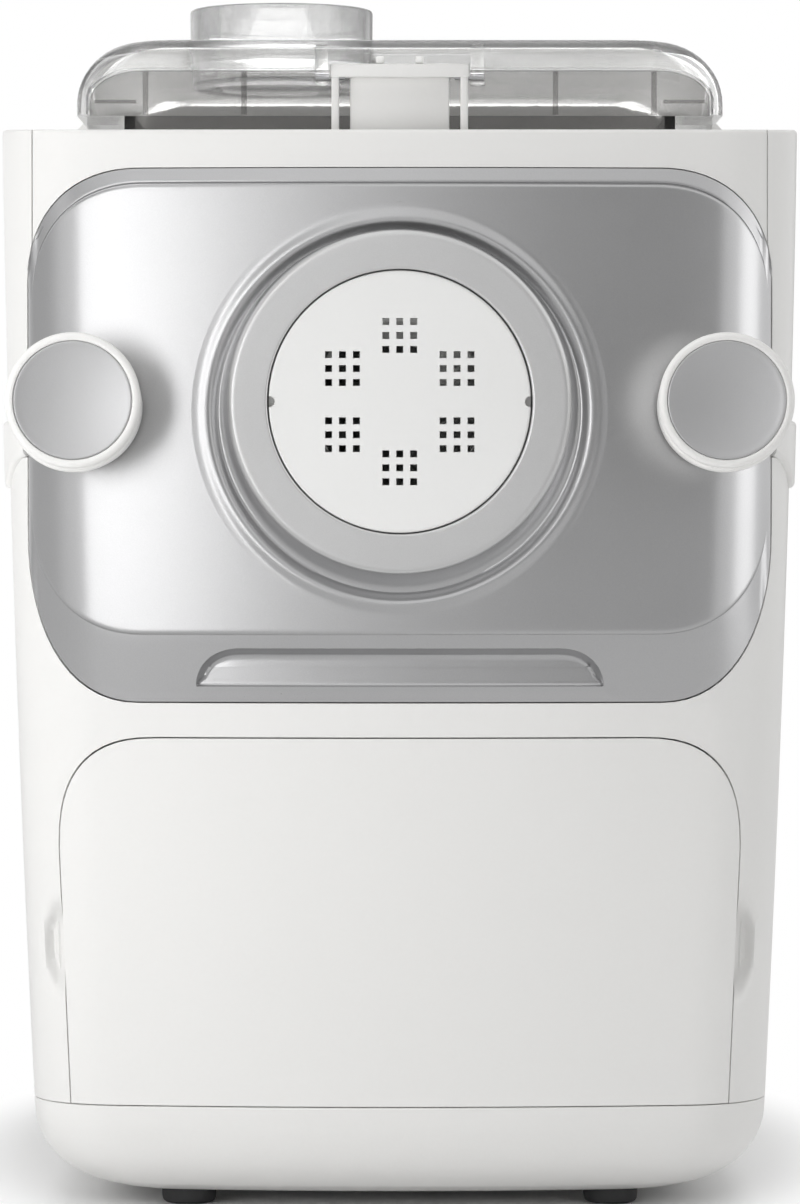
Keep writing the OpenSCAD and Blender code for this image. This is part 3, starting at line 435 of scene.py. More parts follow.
# the chamber's clear plastic is tinted grey: painted shade for the darkening seen through the lid
tubShadedPlastic = clearFinish("tubShadedPlastic", (0.535, 0.53, 0.525), (0.595, 0.59, 0.585), 0.05, 0.02, 1.3)
slotOf = {part["node"]: part["material_slot"] for part in frame["record"]["subparts"]}
for nodeName, nodeObject in frame["nodes"].items():
    nodeObject.data.materials.clear()
    nodeObject.data.materials.append(slotFinish[slotOf[nodeName]])
print("materials:", len(bpy.data.materials))


# housing

housing = dict(notch=0.4, rise=14, farSteps=[8, 12, 8], bandSteps=24, notchSteps=14, sidePlan=2.15,
               wellHalf=81, wellFront=-150, wellBack=65, inlet=[-17, 17, 180, 220, 46, 70])
scoop = dict(height=77.5, high=17, wide=6.6, deep=5.2, soft=0.62)


def earSeam(away):
    # lower edge of an ear: low + drop (1 - t^1.5), t the distance from the panel's edge as a fraction of the sweep
    return ear["low"] + ear["drop"] * (1 - held(away / ear["sweep"]) ** 1.5)


def earBack(z, grow=0.0):
    # y of an ear's rear end with its round corners, r - sqrt(r^2 - (r - near)^2); its opening is larger by grow
    r = ear["round"]
    near = np.clip(np.minimum(z - ear["low"], ear["high"] - z) + grow, 0, r)
    return ear["back"] + grow - (r - np.sqrt(r ** 2 - (r - near) ** 2))


def openingEdge(z):
    # half width of the opening in the front at height z: drawer, plain band, panel, top strip
    g = body["gap"]
    low = drawerEdge(np.minimum(z, drawer["top"] + g), g)
    high = silverEdge(np.clip(z, panel["low"] - g, panel["high"] + g), g)
    high = np.where(z > 230, np.maximum(high, panel["trimHalf"] + g), high)
    t = held((z - drawer["top"] - g) / (panel["low"] - drawer["top"] - 2 * g))
    return low + (high - low) * t


def cornerRows(z0, high, steps, power, rising=True):
    # heights along a super-elliptic corner at even angles: high sin(a)^(2/power) above z0, or below it
    up = high * np.sin(np.linspace(0, math.pi / 2, steps)) ** (2 / power)
    return z0 + up if rising else z0 - up


def makeHousing():
    # rows of the body's plan from the seam up, over the top edge and across the deck to the well
    g, rolled = body["gap"], body["topRound"]
    n0, n1 = ear["low"] - housing["notch"], ear["high"] + housing["notch"]
    corner = ear["round"] * (1 - np.cos(np.linspace(0, math.pi / 2, 6)))
    bandLow, bandHigh = drawer["top"] + g, panel["low"] - g
    drawerSide = bandLow - drawer["cornerHigh"]
    z = np.unique(np.round(np.concatenate([
        np.linspace(body["seam"], 58, 6), scoop["height"] + scoop["high"] * np.linspace(-1.08, 1.08, 29),
        np.linspace(99, drawerSide, 3), cornerRows(drawerSide, drawer["cornerHigh"], 14, drawer["corner"]),
        [bandLow + 3, bandHigh - 3],
        cornerRows(bandHigh + panel["cornerLow"], panel["cornerLow"], 16, panel["corner"], rising=False),
        [204], n0 + corner, n1 - corner, np.linspace(236, 312, 16), [body["top"] - rolled]]), 4))
    a = np.linspace(0, math.pi / 2, 5)[1:]
    rowZ = np.concatenate([z, body["top"] - rolled + rolled * np.sin(a)])
    rowD = np.concatenate([0 * z, rolled * (1 - np.cos(a))])
    # rows just below the notch rise towards its front end, so that its lower edge follows the ear's seam
    lift = held((rowZ - n0 + housing["rise"]) / housing["rise"]) * held((n1 - 8 - rowZ) / 4)
    edgeZ = rowZ + ear["drop"] * lift
    edge = planAtX(openingEdge(edgeZ), edgeZ, rowD)[:, None]
    notchP = planAtY(earBack(rowZ, housing["notch"]), rowZ, rowD)[:, None]
    t1, t2 = np.linspace(0, 1, housing["notchSteps"] + 1)[None], np.linspace(0, 1, 3)[None, 1:]
    far = spans([housing["sidePlan"], 3, 4, 5], housing["farSteps"])
    side = np.hstack([edge + (2 - edge) * t1, 2 + (notchP - 2) * t2, far + 0 * notchP])
    band = edge * np.linspace(-1, 1, housing["bandSteps"] + 1)[None, 1:-1]
    p = np.hstack([-side[:, ::-1], band, side])
    rise = (earSeam((np.abs(p) - edge) * ear["perPlan"]) - ear["low"]) * lift[:, None]
    points = bodyPoint(p, rowZ[:, None] + np.where(np.abs(p) < edge, 0, rise), rowD[:, None])
    # finger scoop: pushed back by deep (1 - 3s^2 + 2s^3), s running from 0 to 1 over the outer soft part of its size
    away = (np.abs(points[..., 0]) - openingEdge(rowZ)[:, None]) / scoop["wide"]
    q = np.clip(away, 0, None) ** 2 + ((rowZ[:, None] - scoop["height"]) / scoop["high"]) ** 2
    q = np.sqrt(np.where(points[..., 1] < -120, np.minimum(q, 1), 1))
    q = held((q - 1 + scoop["soft"]) / scoop["soft"])
    points[..., 1] += scoop["deep"] * (1 - q * q * (3 - 2 * q))
    points[..., 2] += topLift(points[..., 1], points[..., 2])
    rim = points[-1]
    well = join(np.clip(rim[:, 0], -housing["wellHalf"], housing["wellHalf"]),
                np.clip(rim[:, 1], housing["wellFront"], housing["wellBack"]), body["top"])
    points = np.concatenate([points, [rim + (well - rim) * t for t in (0.33, 0.66, 1.0)]])
    # left out: faces of the front opening, except in the plain band, and of the openings for the latch arms
    sideCols, bandEnd, notchCols = side.shape[1], side.shape[1] + band.shape[1], housing["notchSteps"] + 2
    keep = np.ones((len(points) - 1, p.shape[1] - 1), bool)
    rowMid = np.concatenate([(rowZ[1:] + rowZ[:-1]) / 2, np.full(3, 320.0)])
    inBand = (rowMid > bandLow) & (rowMid < bandHigh)
    keep[:, sideCols - 1:bandEnd] = inBand[:, None]
    inNotch = (rowMid > n0) & (rowMid < n1)
    keep[np.ix_(inNotch, np.r_[bandEnd:bandEnd + notchCols, sideCols - 1 - notchCols:sideCols - 1])] = False
    o = Shape().grid(points, keep=keep).sheet(
        body["wall"], 0.45, "housingShell", "housing", ["side_housing"], "white_plastic")
    vents = [[x, x + 28, 180, 220, 60 + i * 7, 63.2 + i * 7] for i in range(9) for x in (-74, 46)]
    cutOut(o, Shape().boxes(vents), Shape().boxes([housing["inlet"]]))


def makeBase():
    # the seam's plan scaled in about its middle by the pull-in k: x (w - k)/w, y (h - k)/h
    steps = smoothLine([[0, 32.05], [0.2, 29], [0.7, 25], [2.9, 19.2], [7.2, 13.3], [14, 8.2], [18, 6.4], [23, 4.9],
                        [28, 4.5]], 30)
    steps[:, 0] = np.maximum(steps[:, 0], 0)
    p = spans([-5, -4, -3, -2, -1, 1, 2, 3, 4, 5], [5, 12, 8, 12, 24, 12, 8, 12, 5])[:-1]
    plan = bodyPoint(p, body["seam"])
    w, cy, h = body["seamWidth"] / 2, (body["back"] - body["front"]) / 2, (body["back"] + body["front"]) / 2
    k = steps[::-1, 0, None]
    points = join(plan[:, 0] * (w - k) / w, cy + (plan[:, 1] - cy) * (h - k) / h, steps[::-1, 1, None])
    under = [points[0] * [t, t, 1] + [0, cy * (1 - t), 0] for t in (0.001, 0.5)]
    o = Shape().grid(np.concatenate([under, points]), loopCols=True).sheet(
        body["wall"], 0.35, "baseTray", "housing", ["base_shell"], "white_plastic")
    cutOut(o, Shape().boxes([[-22, 22, 140 + i * 6, 143 + i * 6, -5, 12] for i in range(-4, 5)]))


feet = dict(across=62.2, front=-128, back=150, radius=8)


def makeFeet():
    # four feet turned from one profile
    r = feet["radius"]
    profile = smoothLine([[r - 1.8, 0.02], [r - 0.8, 0.35], [r - 0.2, 1.2], [r, 3], [r, 5.4]], 12)
    s = Shape()
    for x in (-feet["across"], feet["across"]):
        for y in (feet["front"], feet["back"]):
            s.closed(lathe(profile, x, y, 48, upright=True))
    s.piece("rubberFeet", "housing", ["rubber_feet"], "rubber")


makeHousing()
makeBase()
makeFeet()
print("housing and base")


# front panel

def panelEdge(x, half, z, high, up):
    # height of a panel outline at x: z at the middle, drawing in by a super-elliptic corner at the sides
    t = np.maximum(np.abs(x) - half + panel["cornerWide"], 0) / panel["cornerWide"]
    return z - up * high * (1 - superEdge(t, panel["corner"]))


def makeTopTrim():
    # the strip of front above the silver panel, y = front(x, z), rolled over the top edge by a quarter circle
    x = panel["trimHalf"] * np.sin(np.linspace(-1, 1, 60) * math.pi / 2)[None]
    seam = panel["trimSeam"]
    low = panelEdge(x, panel["half"] + seam, panel["high"] + seam, panel["cornerHigh"], 1)
    top = body["top"] - body["topRound"]
    t = np.linspace(0, 1, 8)[:, None]
    z = low + (top - low) * t
    a = np.linspace(0, math.pi / 2, 6)[1:, None]
    z = np.concatenate([z, top + body["topRound"] * np.sin(a) + 0 * x, body["top"] + 0 * x])
    d = np.concatenate([0 * (low + t), body["topRound"] * (1 - np.cos(a)) + 0 * x, 2.9 + 0 * x])
    y = frontY(x, z, d)
    Shape().grid(join(x, y, z + topLift(y, z))).sheet(2.6, 0.35, "topTrim", "panel", ["top_trim"], "white_plastic")


def makeSilverPanel():
    # upright slices: sloping border, crisp step, raised bowed face; y = front(x, z) - raised
    gap, half = panel["stepGap"], panel["half"]
    x = (half * 0.9992 * np.sin(np.linspace(-1, 1, 121) * math.pi / 2))[None]
    low = panelEdge(x, half, panel["low"], panel["cornerLow"], -1)
    top = panelEdge(x, half, panel["high"], panel["cornerHigh"], 1)
    fTop = np.minimum(top - 2.2, panelEdge(x, half - 1.2, panel["faceHigh"], 33, 1))
    fLow = np.maximum(low + 2.2, panelEdge(x, half - 1.2, panel["faceLow"], 36, -1))
    up = panel["raised"] * np.sqrt(np.maximum(0, 1 - (np.abs(x) / half) ** 14))
    t = np.linspace(0, 1, 9)[:, None]
    # each step as rows of distance out of the face and share of the rise
    lowStep = np.array([[gap, 0], [0.8, 0.01], [0.55, 0.08], [0.45, 0.3], [0.38, 0.62], [0.2, 0.83], [-0.1, 0.94],
                        [-0.6, 0.99], [-1.2, 1]])
    topStep = np.array([[gap, 0], [0.85, 0], [0.72, -0.05], [0.62, -0.2], [0.3, -0.22], [0.2, 0.0], [0.14, 0.75],
                        [0, 0.92], [-0.3, 0.985], [-0.8, 1.0]])
    lowBorder, topBorder = low + (fLow - gap - low) * t[:-1], fTop + gap + (top - fTop - gap) * t[1:]
    # the borders slope: proud of the body next to the face by part of its step, flush at their outer edges
    share = up / panel["raised"]
    lowLift = share ** 2 * held((fLow - low - 3) / 16) * panel["lowSlope"]
    highLift = share * held((top - fTop - 1) / 3.5) * panel["topSlope"]
    face = fLow + 1.2 + (fTop - fLow - 2.0) * np.linspace(0, 1, 64)[1:-1, None]
    z = np.concatenate([lowBorder, fLow - lowStep[:, :1], face, fTop + topStep[::-1, :1], topBorder])
    lowRise = lowLift + (up - lowLift) * lowStep[:, 1:]
    topRise = highLift + (up - highLift) * topStep[::-1, 1:]
    raised = np.concatenate([lowLift * t[:-1], lowRise, face * 0 + up, topRise, highLift * (1 - t[1:])])
    # towards the upright sides the borders run into the face
    raised += (up - raised) * held((np.abs(x) - half + 3) / 2)
    o = Shape().grid(join(x, frontY(x, z) - raised, z)).sheet(
        2.4, 0.4, "silverPanel", "panel", ["front_panel"], "silver_paint")
    hole = Shape().closed(lathe([[60, 120], [60, 220]], 0, nozzle["channelHeight"], 192))
    pins = Shape()
    for x in (-knob["x"], knob["x"]):
        pins.closed(lathe([[9, 120], [9, 220]], x, nozzle["height"], 48))
    cutOut(o, hole, pins, Shape().closed(prism(gripOutline(), -200, -120)))


channel = dict(edge=60.0, floor=-164.6, bedRadius=43, bedWide=3, bedDeep=1.2, fillet=4.4)


def makeChannel():
    # rings of radius r from the panel's face over a bead down to the floor: y = floor + (face - floor) g
    centre = nozzle["channelHeight"]
    a = np.linspace(0, 2 * math.pi, 192, endpoint=False)[None]
    r = np.array([60.0, 59.2, 58.6, 58.1, 57.6, 57.0, 56.4, 55.8, 55.3, 54.8, 54.4, 54.0, 53.6, 53.2, 52.8,
                  52.3])[:, None]
    g = np.array([1, 1.0, 1.01, 1.03, 1.07, 1.14, 1.2, 1.235, 1.23, 1.17, 1.05, .87, .63, .38, .16, .05])[:, None]
    edge, floor = channel["edge"], channel["floor"]
    face = frontY(edge * np.cos(a), centre + edge * np.sin(a)) - panel["raised"]
    x, z = r * np.cos(a), centre + r * np.sin(a)
    y = floor + (face - floor) * g
    y[0] = frontY(x[0], z[0]) - panel["raised"] + 0.02
    # fillet: from the bead's foot to the ring's edge, rising with the fraction t as t^2.2
    t = np.linspace(0, 1, 9)[1:, None]
    rim = nozzle["ringRadius"] - 0.4
    fx, fz = x[-1] + (rim * np.cos(a) - x[-1]) * t, z[-1] + (nozzle["height"] + rim * np.sin(a) - z[-1]) * t
    fy = y[-1] - channel["fillet"] * t ** 2.2
    # the bed behind the ring
    r0, r1, under = channel["bedRadius"], channel["bedRadius"] + channel["bedWide"], floor + channel["bedDeep"]
    inner = rectangle(r1, r0, floor, under)
    ix, iz = inner[:, :1] * np.cos(a), nozzle["height"] + inner[:, :1] * np.sin(a)
    p = join(np.vstack([x, fx, ix]), np.vstack([y, fy, inner[:, 1:] + 0 * a]), np.vstack([z, fz, iz]))
    o = Shape().grid(p, loopCols=True).piece("nozzleChannel", "panel", [], "silver_paint", outward=False)
    o.data.flip_normals()


grip = dict(half=58.8, low=153.4, high=164.6, cornerWide=12.5, cornerHigh=10.8, power=2.1)


def gripOutline():
    # the finger grip: flat below, super-elliptic upper corners cos(a)^(2/power), sin(a)^(2/power)
    a = np.linspace(0, math.pi / 2, 12)
    right = np.column_stack([grip["cornerWide"] * np.cos(a) ** (2 / grip["power"]),
                             grip["cornerHigh"] * np.sin(a) ** (2 / grip["power"])])
    right += [grip["half"] - grip["cornerWide"], grip["high"] - grip["cornerHigh"]]
    foot = np.array([[-grip["half"], grip["low"]], [grip["half"], grip["low"]]])
    return np.vstack([right, right[::-1] * [-1, 1], foot])


def makeGrip():
    # a rolled lip round the finger grip and the pocket behind it, carried along the grip's outline
    outline = gripOutline()
    closed = np.vstack([outline, outline[:1]])
    length = np.concatenate([[0], np.cumsum(np.linalg.norm(np.diff(closed, axis=0), axis=1))])
    s = np.linspace(0, length[-1], 240, endpoint=False)
    path = np.column_stack([np.interp(s, length, closed[:, 0]), np.interp(s, length, closed[:, 1])])
    middle = (path.min(0) + path.max(0)) / 2
    lane = np.roll(path, -1, 0) - np.roll(path, 1, 0)
    out = np.column_stack([lane[:, 1], -lane[:, 0]])
    out /= np.linalg.norm(out, axis=1)[:, None]
    out *= np.sign((out * (path - middle)).sum(1))[:, None]
    # the wall leans in above and at the sides, and stands upright below
    lean = held((path[:, 1] - grip["low"] - 1.0) / 2.0)
    profile = np.array([[0.3, 0.03, 0.3], [0.12, 0.03, 0.1], [-0.15, 0.25, -0.05], [-0.5, 0.85, -0.1],
                        [-1.1, 1.9, -0.15], [-1.6, 2.8, -0.2], [-1.9, 3.2, -0.3], [-2.2, 3.4, -0.6],
                        [-2.9, 3.5, -1.4]])
    border = panel["faceLow"] - panel["stepGap"] - panel["low"]
    rows = []
    for leaning, deep, upright in profile:
        q = path + out * (upright + (leaning - upright) * lean)[:, None]
        slope = panel["lowSlope"] * held((q[:, 1] - panel["low"]) / border)
        rows.append(join(q[:, 0], frontY(*q.T) + deep - slope, q[:, 1]))
    # the floor closes along the middle height
    last = rows[-1]
    for t in (0.66, 0.33, 0.0):
        rows.append(np.column_stack([last[:, :2], middle[1] + (last[:, 2] - middle[1]) * t]))
    Shape().grid(np.stack(rows), loopCols=True).sheet(0.6, 0, "fingerGrip", "panel", [], "silver_paint", even=False)


def makeRing():
    # a turned ring of radius r0 to r1 with rounded front edges
    f = nozzle["discFront"] + 0.5
    r0, r1 = nozzle["discRadius"] + 0.4, nozzle["ringRadius"]
    profile = [[r0, 162], [r0, f - 0.5], [r0 + 0.12, f - 0.15], [r0 + 0.4, f], [r0 + 0.8, f], [r1 - 2.4, f],
               [r1 - 1.7, f], [r1 - 1.2, f - 0.06], [r1 - 0.7, f - 0.28], [r1 - 0.3, f - 0.65], [r1 - 0.06, f - 1.2],
               [r1, f - 2], [r1, 162]]
    # the ring takes the lighter silver, a painted reflection
    Shape().ring(lathe(profile, 0, nozzle["height"], 192)).piece(
        "nozzleRing", "panel", ["nozzle_ring"], "silver_paint", ringPaintedSheen, smooth=50)


disc = dict(holeSide=2, holePitch=4, clusterRadius=19, groups=6, mark=1.6, markDeep=3.4)


def makeDisc():
    # a turned plate with six groups of nine square holes
    f, r, z = nozzle["discFront"], nozzle["discRadius"], nozzle["height"]
    face = [[0, f - 5], [r - 0.3, f - 5], [r, f - 4.6], [r, f - 0.55], [r - 0.12, f - 0.2], [r - 0.45, f],
            [r - 0.9, f], [r - 1.4, f], [0, f]]
    s = Shape().grid(lathe(face, 0, z, 160), loopCols=True)
    # its skirt and the flange that the panel holds
    for r0, r1, f0, f1 in ((30, r, f - 5, 157), (34, 41, 154.9, 161.2)):
        s.ring(lathe(rectangle(r0, r1, f0, f1), 0, z, 96))
    o = s.piece("shapingDisc", "disc", ["shaping_disc"], "disc_plastic", smooth=35)
    half, pitch, ring = disc["holeSide"] / 2, disc["holePitch"], disc["clusterRadius"]
    steps = (-pitch, 0, pitch)
    holes = []
    for turn in range(30, 360, 360 // disc["groups"]):
        cx, cz = ring * math.cos(math.radians(turn)), z + ring * math.sin(math.radians(turn))
        holes += [[cx + i - half, cx + i + half, -f - 5, -f + 9, cz + j - half, cz + j + half]
                  for i in steps for j in steps]
    marks = Shape()
    for side in (-1, 1):
        marks.closed(lathe([[disc["mark"], f - disc["markDeep"]], [disc["mark"], f + 9]], side * (r - 0.2), z, 32))
    cutOut(o, Shape().boxes(holes), marks, smooth=35)


knob = dict(x=92.2, radius=19.2, capRadius=16.8, capGap=0.05, front=198, dish=1.0)


def makeKnob(side, word):
    # a turned rim of radius r, the boss behind it and a cap that is hollow by dish (1 - (q/cap)^2)
    f, r, x, z = knob["front"], knob["radius"], side * knob["x"], nozzle["height"]
    cap = knob["capRadius"]
    c = cap + knob["capGap"]
    profile = [[4, 167], [17.2, 167], [17.6, 167.6], [17.9, 169], [18.3, f - 9], [18.45, f - 5.2]]
    rim = smoothLine([[18.5, f - 4.4], [r - 0.25, f - 3.3], [r, f - 2], [r - 0.3, f - 0.8], [r - 1.0, f - 0.1],
                      [r - 1.7, f - 0.02], [c + 0.3, f - 0.12], [c + 0.08, f - 0.3], [c, f - 0.6]], 20)
    s = Shape().ring(lathe([*profile, *rim, [c, f - 2.6], [4, f - 2.6]], x, z, 128))
    lobe = smoothLine([[8, 167.5], [16.9, 167.5], [17.9, 168.3], [18.4, 171], [18.8, f - 12], [18.85, f - 8.4],
                       [18.2, f - 6.6], [16, f - 6]], 20)
    s.ring(lathe(lobe, x, z - 1.5, 96))
    s.piece(word + "Knob", word + "_lock", [word + "_knob"], "white_plastic", knobPlastic, smooth=45)
    edge = [[0, f - 2.5], [cap, f - 2.5], [cap, f - 0.7], [cap - 0.08, f - 0.52], [cap - 0.25, f - 0.42],
            [cap - 0.5, f - 0.4]]
    q = np.linspace(cap - 1.2, 0, 14)
    dish = np.column_stack([q, f - 0.4 - knob["dish"] * (1 - (q / cap) ** 2)])
    Shape().grid(lathe([*edge, *dish], x, z, 128), loopCols=True).piece(
        word + "KnobCap", word + "_lock", [word + "_knob_cap"], "silver_paint", capMetal, smooth=45)


def makeEar(side, word):
    # the ear stands out of the corner by proud s(t) above its seam; s is a quarter circle
    t = np.linspace(0, 1, 60)[None] ** 1.3
    p0 = planAtX(panel["half"] + body["gap"], 0 * t + (ear["low"] + ear["high"]) / 2)
    seam = earSeam((p0 + (2.9 - p0) * t - p0) * ear["perPlan"])
    foot = np.array([0, 0.04, 0.12, 0.26, 0.48, 0.8, 1.2, 1.7])
    head = np.array([1.6, 1.2, 0.8, 0.45, 0.2, 0.06, 0])
    spread = np.linspace(0, 1, 26)[1:-1, None]
    z = np.concatenate([seam + foot[:, None], seam + 1.7 + (ear["high"] - 1.6 - seam - 1.7) * spread,
                        ear["high"] - head[:, None] + 0 * seam])
    p1 = planAtY(earBack(z), z)
    p = p0 + (p1 - p0) * t
    shares = [1 - (1 - held(away)) ** 2 for away in ((z - seam) / 1.7, (ear["high"] - z) / 1.6, (p1 - p) * 100)]
    raised = ear["proud"] * np.sqrt(np.prod(shares, 0))
    s = Shape().slab(bodyPoint(side * p, z, -raised), bodyPoint(side * p, z, ear["thick"]))
    # tongue behind the silver panel: the body's plan moved back, cut to the tongue's width
    x, z = side * np.linspace(97.2, 113, 24), ear["low"] + np.linspace(1, 11.4, 5)[:, None]
    front = join(x, np.maximum(frontY(x, z) + 2.9, -151.4), z)
    back = join(x, np.maximum(frontY(x, z) + 6.1, -151.2), z)
    s.slab(front, back).piece(word + "LatchEar", "panel", [word + "_latch_arm"], "white_plastic", smooth=50)


def makeDrawerFront():
    # rows at height z on the body's front surface, x = edge(z) sin(a)
    start = drawer["top"] - drawer["cornerHigh"]
    corner = cornerRows(start, drawer["cornerHigh"], 15, drawer["corner"])
    z = np.unique(np.concatenate([np.linspace(body["seam"] + 0.1, start, 10), corner]))[:, None]
    x = drawerEdge(z) * np.sin(np.linspace(-1, 1, 61) * math.pi / 2)[None]
    Shape().grid(join(x, frontY(x, z), z)).sheet(
        drawer["wall"], 0.7, "drawerFront", "drawer", ["drawer_front"], "white_plastic")


makeTopTrim()
makeSilverPanel()
makeChannel()
makeGrip()
makeRing()
makeDisc()
for side, word in ((-1, "left"), (1, "right")):
    makeKnob(side, word)
    makeEar(side, word)
makeDrawerFront()
print("front panel, knobs and drawer")


# lid, chamber and cup

def makeLid():
    # rounded rectangles, one for each height of the arch, closed over the top
    half, top, wide, high = lidSize["half"], lidSize["top"], lidSize["archWide"], lidSize["archHigh"]
    midY, halfY = (lidSize["front"] + lidSize["back"]) / 2, (lidSize["back"] - lidSize["front"]) / 2
    rolled, corner, plans = lidSize["rolled"], lidSize["corner"], []
    for halfX, z in [[half, lidSize["low"]], *quarter(half - wide, top - high, wide, high, 14)]:
        drawIn = rolled * (1 - math.sqrt(max(0, 1 - max(0, (z - top + rolled) / rolled) ** 2)))
        q = quarter(halfX - corner, halfY - drawIn - corner, corner, corner, 10)
        plan = np.vstack([q, q[::-1] * [-1, 1], -q, q[::-1] * [1, -1]]) + [0, midY]
        plans.append(join(*plan.T, z))
    rim = plans[-1]
    for t in (0.8, 0.4, 0.02):
        plans.append((rim - [0, midY, 0]) * [t, t, 1] + [0, midY, 0])
    o = Shape().grid(np.stack(plans), loopCols=True, caps=(1,)).sheet(
        lidSize["wall"], 0, "clearLid", "chamber_lid", ["lid"], "clear_plastic")
    # openings: the arch that the chamber's rim fills, the filling hole and the bracket's place
    right = np.vstack([[[88, 300], [90.3, 319.4]], quarter(75, 323.3, 15.3, 9, 10)[1:]])
    front = Shape().closed(prism(np.vstack([right, right[::-1] * [-1, 1]]), -170, -140))
    r = cup["radius"] + 0.4
    hole = Shape().closed(lathe([[r, 300], [r, 360]], cup["x"], cup["y"], 96, upright=True))
    place = Shape().boxes([[-20.6, 20.6, -170, -152, 300, 336.6]])
    cutOut(o, front, hole, place, smooth=35)
    # two lugs with a half round foot
    lugs = Shape()
    for x0 in (-24.6, 20.6):
        a = np.linspace(math.pi, 2 * math.pi, 14)
        shape = np.column_stack([-155.6 + 2.8 * np.cos(a), 330 + 2.8 * np.sin(a)])
        shape = np.vstack([shape, [[-152.8, 338.4], [-158.4, 338.4]]])
        middle = shape.mean(0)
        lugs.closed(np.stack([join(x0 + out, *(middle + (shape - middle) * size).T)
                              for out, size in ((0, 0.93), (0.3, 1), (3.7, 1), (4, 0.93))]))
    lugs.piece("lidLugs", "chamber_lid", [], "clear_plastic", smooth=35)


cup = dict(radius=27.6, x=-35.8, y=-90, top=355)


def makeCup():
    # a turned cup with a flange that rests on the lid
    r, top, lid = cup["radius"], cup["top"], lidSize["top"]
    profile = [[0, 330.5], [r - 2.4, 330.5], [r - 1.4, 331], [r - 0.8, 332], [r - 0.4, lid + 0.2],
               [r + 2, lid + 0.25], [r + 2.4, lid + 0.7], [r + 2.2, lid + 1.5], [r + 1.6, lid + 1.8],
               [r + 0.2, lid + 1.9], [r - 0.1, lid + 3], [r, top - 0.9], [r - 0.3, top - 0.25], [r - 0.9, top],
               [r - 1.6, top - 0.2], [r - 2, top - 0.8], [r - 2.4, 336], [r - 3.2, 333.4], [r - 4.6, 332.7],
               [0, 332.7]]
    Shape().grid(lathe(profile, cup["x"], cup["y"], 128, upright=True), loopCols=True).piece(
        "waterCup", "cup", ["water_cup"], "clear_plastic", cupPlastic, smooth=35)


chamber = dict(front=-152.5, back=61, flange=318.8, radius=80, wall=3, mouth=30, shaftHole=10)


def makeChamber():
    # a trough with a half round floor, r cos(a), r sin(a) below the nozzle's height, its flanges and its front wall
    front, back, flange, r = chamber["front"], chamber["back"], chamber["flange"], chamber["radius"]
    a, z0 = np.linspace(0, math.pi, 49), nozzle["height"]

    def trough(radius, y0, y1, top):
        # half round below, straight sides up to the top
        floor = np.column_stack([radius * np.cos(-a), z0 + radius * np.sin(-a)])
        return Shape().closed(prism(np.vstack([floor, [[-radius, top], [radius, top]]]), y0, y1))

    # the trough and its front wall take the grey-tinted plastic, painted shade
    o = trough(r, front + 0.5, back, flange).piece(
        "mixingChamber", "housing", ["mixing_chamber"], "clear_plastic", tubShadedPlastic, smooth=35)
    wall, mouth, shaftHole = chamber["wall"], chamber["mouth"], chamber["shaftHole"]
    cutOut(o, trough(r - wall, front + wall, back - wall, 400),
           Shape().closed(lathe([[mouth, 140], [mouth, 170]], 0, z0, 96)),
           Shape().closed(lathe([[shaftHole, -80], [shaftHole, -40]], 0, z0, 64)), smooth=35)
    bars = [[x0, x1, front + 3, back, flange - 2.5, flange] for x0, x1 in ((-91, -80.02), (80.02, 91))]
    bars += [[x0, x1, front + 3, back, 314.2, flange - 2.52] for x0, x1 in ((-91, -89), (89, 91))]
    Shape().boxes(bars).piece("chamberFlange", "housing", [], "clear_plastic", cupPlastic, smooth=35)
    # the arched front wall with four ribs and two ledges
    arch = quarter(75, 323, 15, 9, 9)
    right = np.vstack([[[r, 290], [r, flange], [90, flange]], arch])
    bars = [[x - 0.8, x + 0.8, front - 1.6, front - 0.02, flange + 0.3, 331.5] for x in (-73.8, -45.2, 45.2, 73.8)]
    bars += [[x, x + 12.1, front - 0.9, front - 0.02, 322.4, 323.4] for x in (-88.6, 76.5)]
    Shape().closed(prism(np.vstack([right, right[::-1] * [-1, 1]]), front, front + 2.9)).boxes(bars).piece(
        "chamberRim", "housing", [], "clear_plastic", tubShadedPlastic, smooth=35)


def makeBracket():
    # the white hinge bracket: a top bar and two posts, a recessed plate and two pegs, with rounded edges
    bars = [[-20.3, 20.3, -157.4, -152.5, 329.7, 333.6], [-19.8, -17.6, -157.4, -152.5, 287, 329.9],
            [17.6, 19.8, -157.4, -152.5, 287, 329.9], [-14.4, 14.4, -154.2, -152.4, 290, 330.4],
            [-6.9, -4.5, -156.4, -154, 333.8, 335.8], [4.5, 6.9, -156.4, -154, 333.8, 335.8]]
    roundEdges(Shape().boxes(bars).piece("hingeBracket", "housing", ["chamber_bracket"], "white_plastic"), 0.45)


def makeTower():
    # rings of the body's top plan, pulled in by d at height z, then a flat top
    rings = smoothLine([[0, 314], [1, 319], [4, 325], [9, 330], [13, 334], [17.5, 336.8], [22, 337.9], [28, 338]], 24)
    p = spans([-5, -4, -3, -2.68], [7, 12, 2])
    p = np.concatenate([p, -p[::-1]])
    rows = np.stack([bodyPoint(p, body["top"], max(d, 0)) * [1, 1, 0] + [0, 0, z] for d, z in rings])
    rows[..., 1] = np.maximum(rows[..., 1], 66)
    o = Shape().grid(rows, caps=(0, 1)).piece("controlTower", "housing", ["control_housing"], "white_plastic")
    roundEdges(o, 0.8)
    seat, hollow, opening = [-78, 78, 92, 168, 334.5, 350], [-95, 95, 70, 177, 310, 331], [-72, 72, 98, 162, 320, 350]
    cutOut(o, *[Shape().boxes([box]) for box in (seat, hollow, opening)])


keys = dict(places=dict(power=-62, start=62, menu=18, plus=36, minus=-18), y=112, radius=7, top=338.5,
            signBar=0.25, signHalf=2.3)


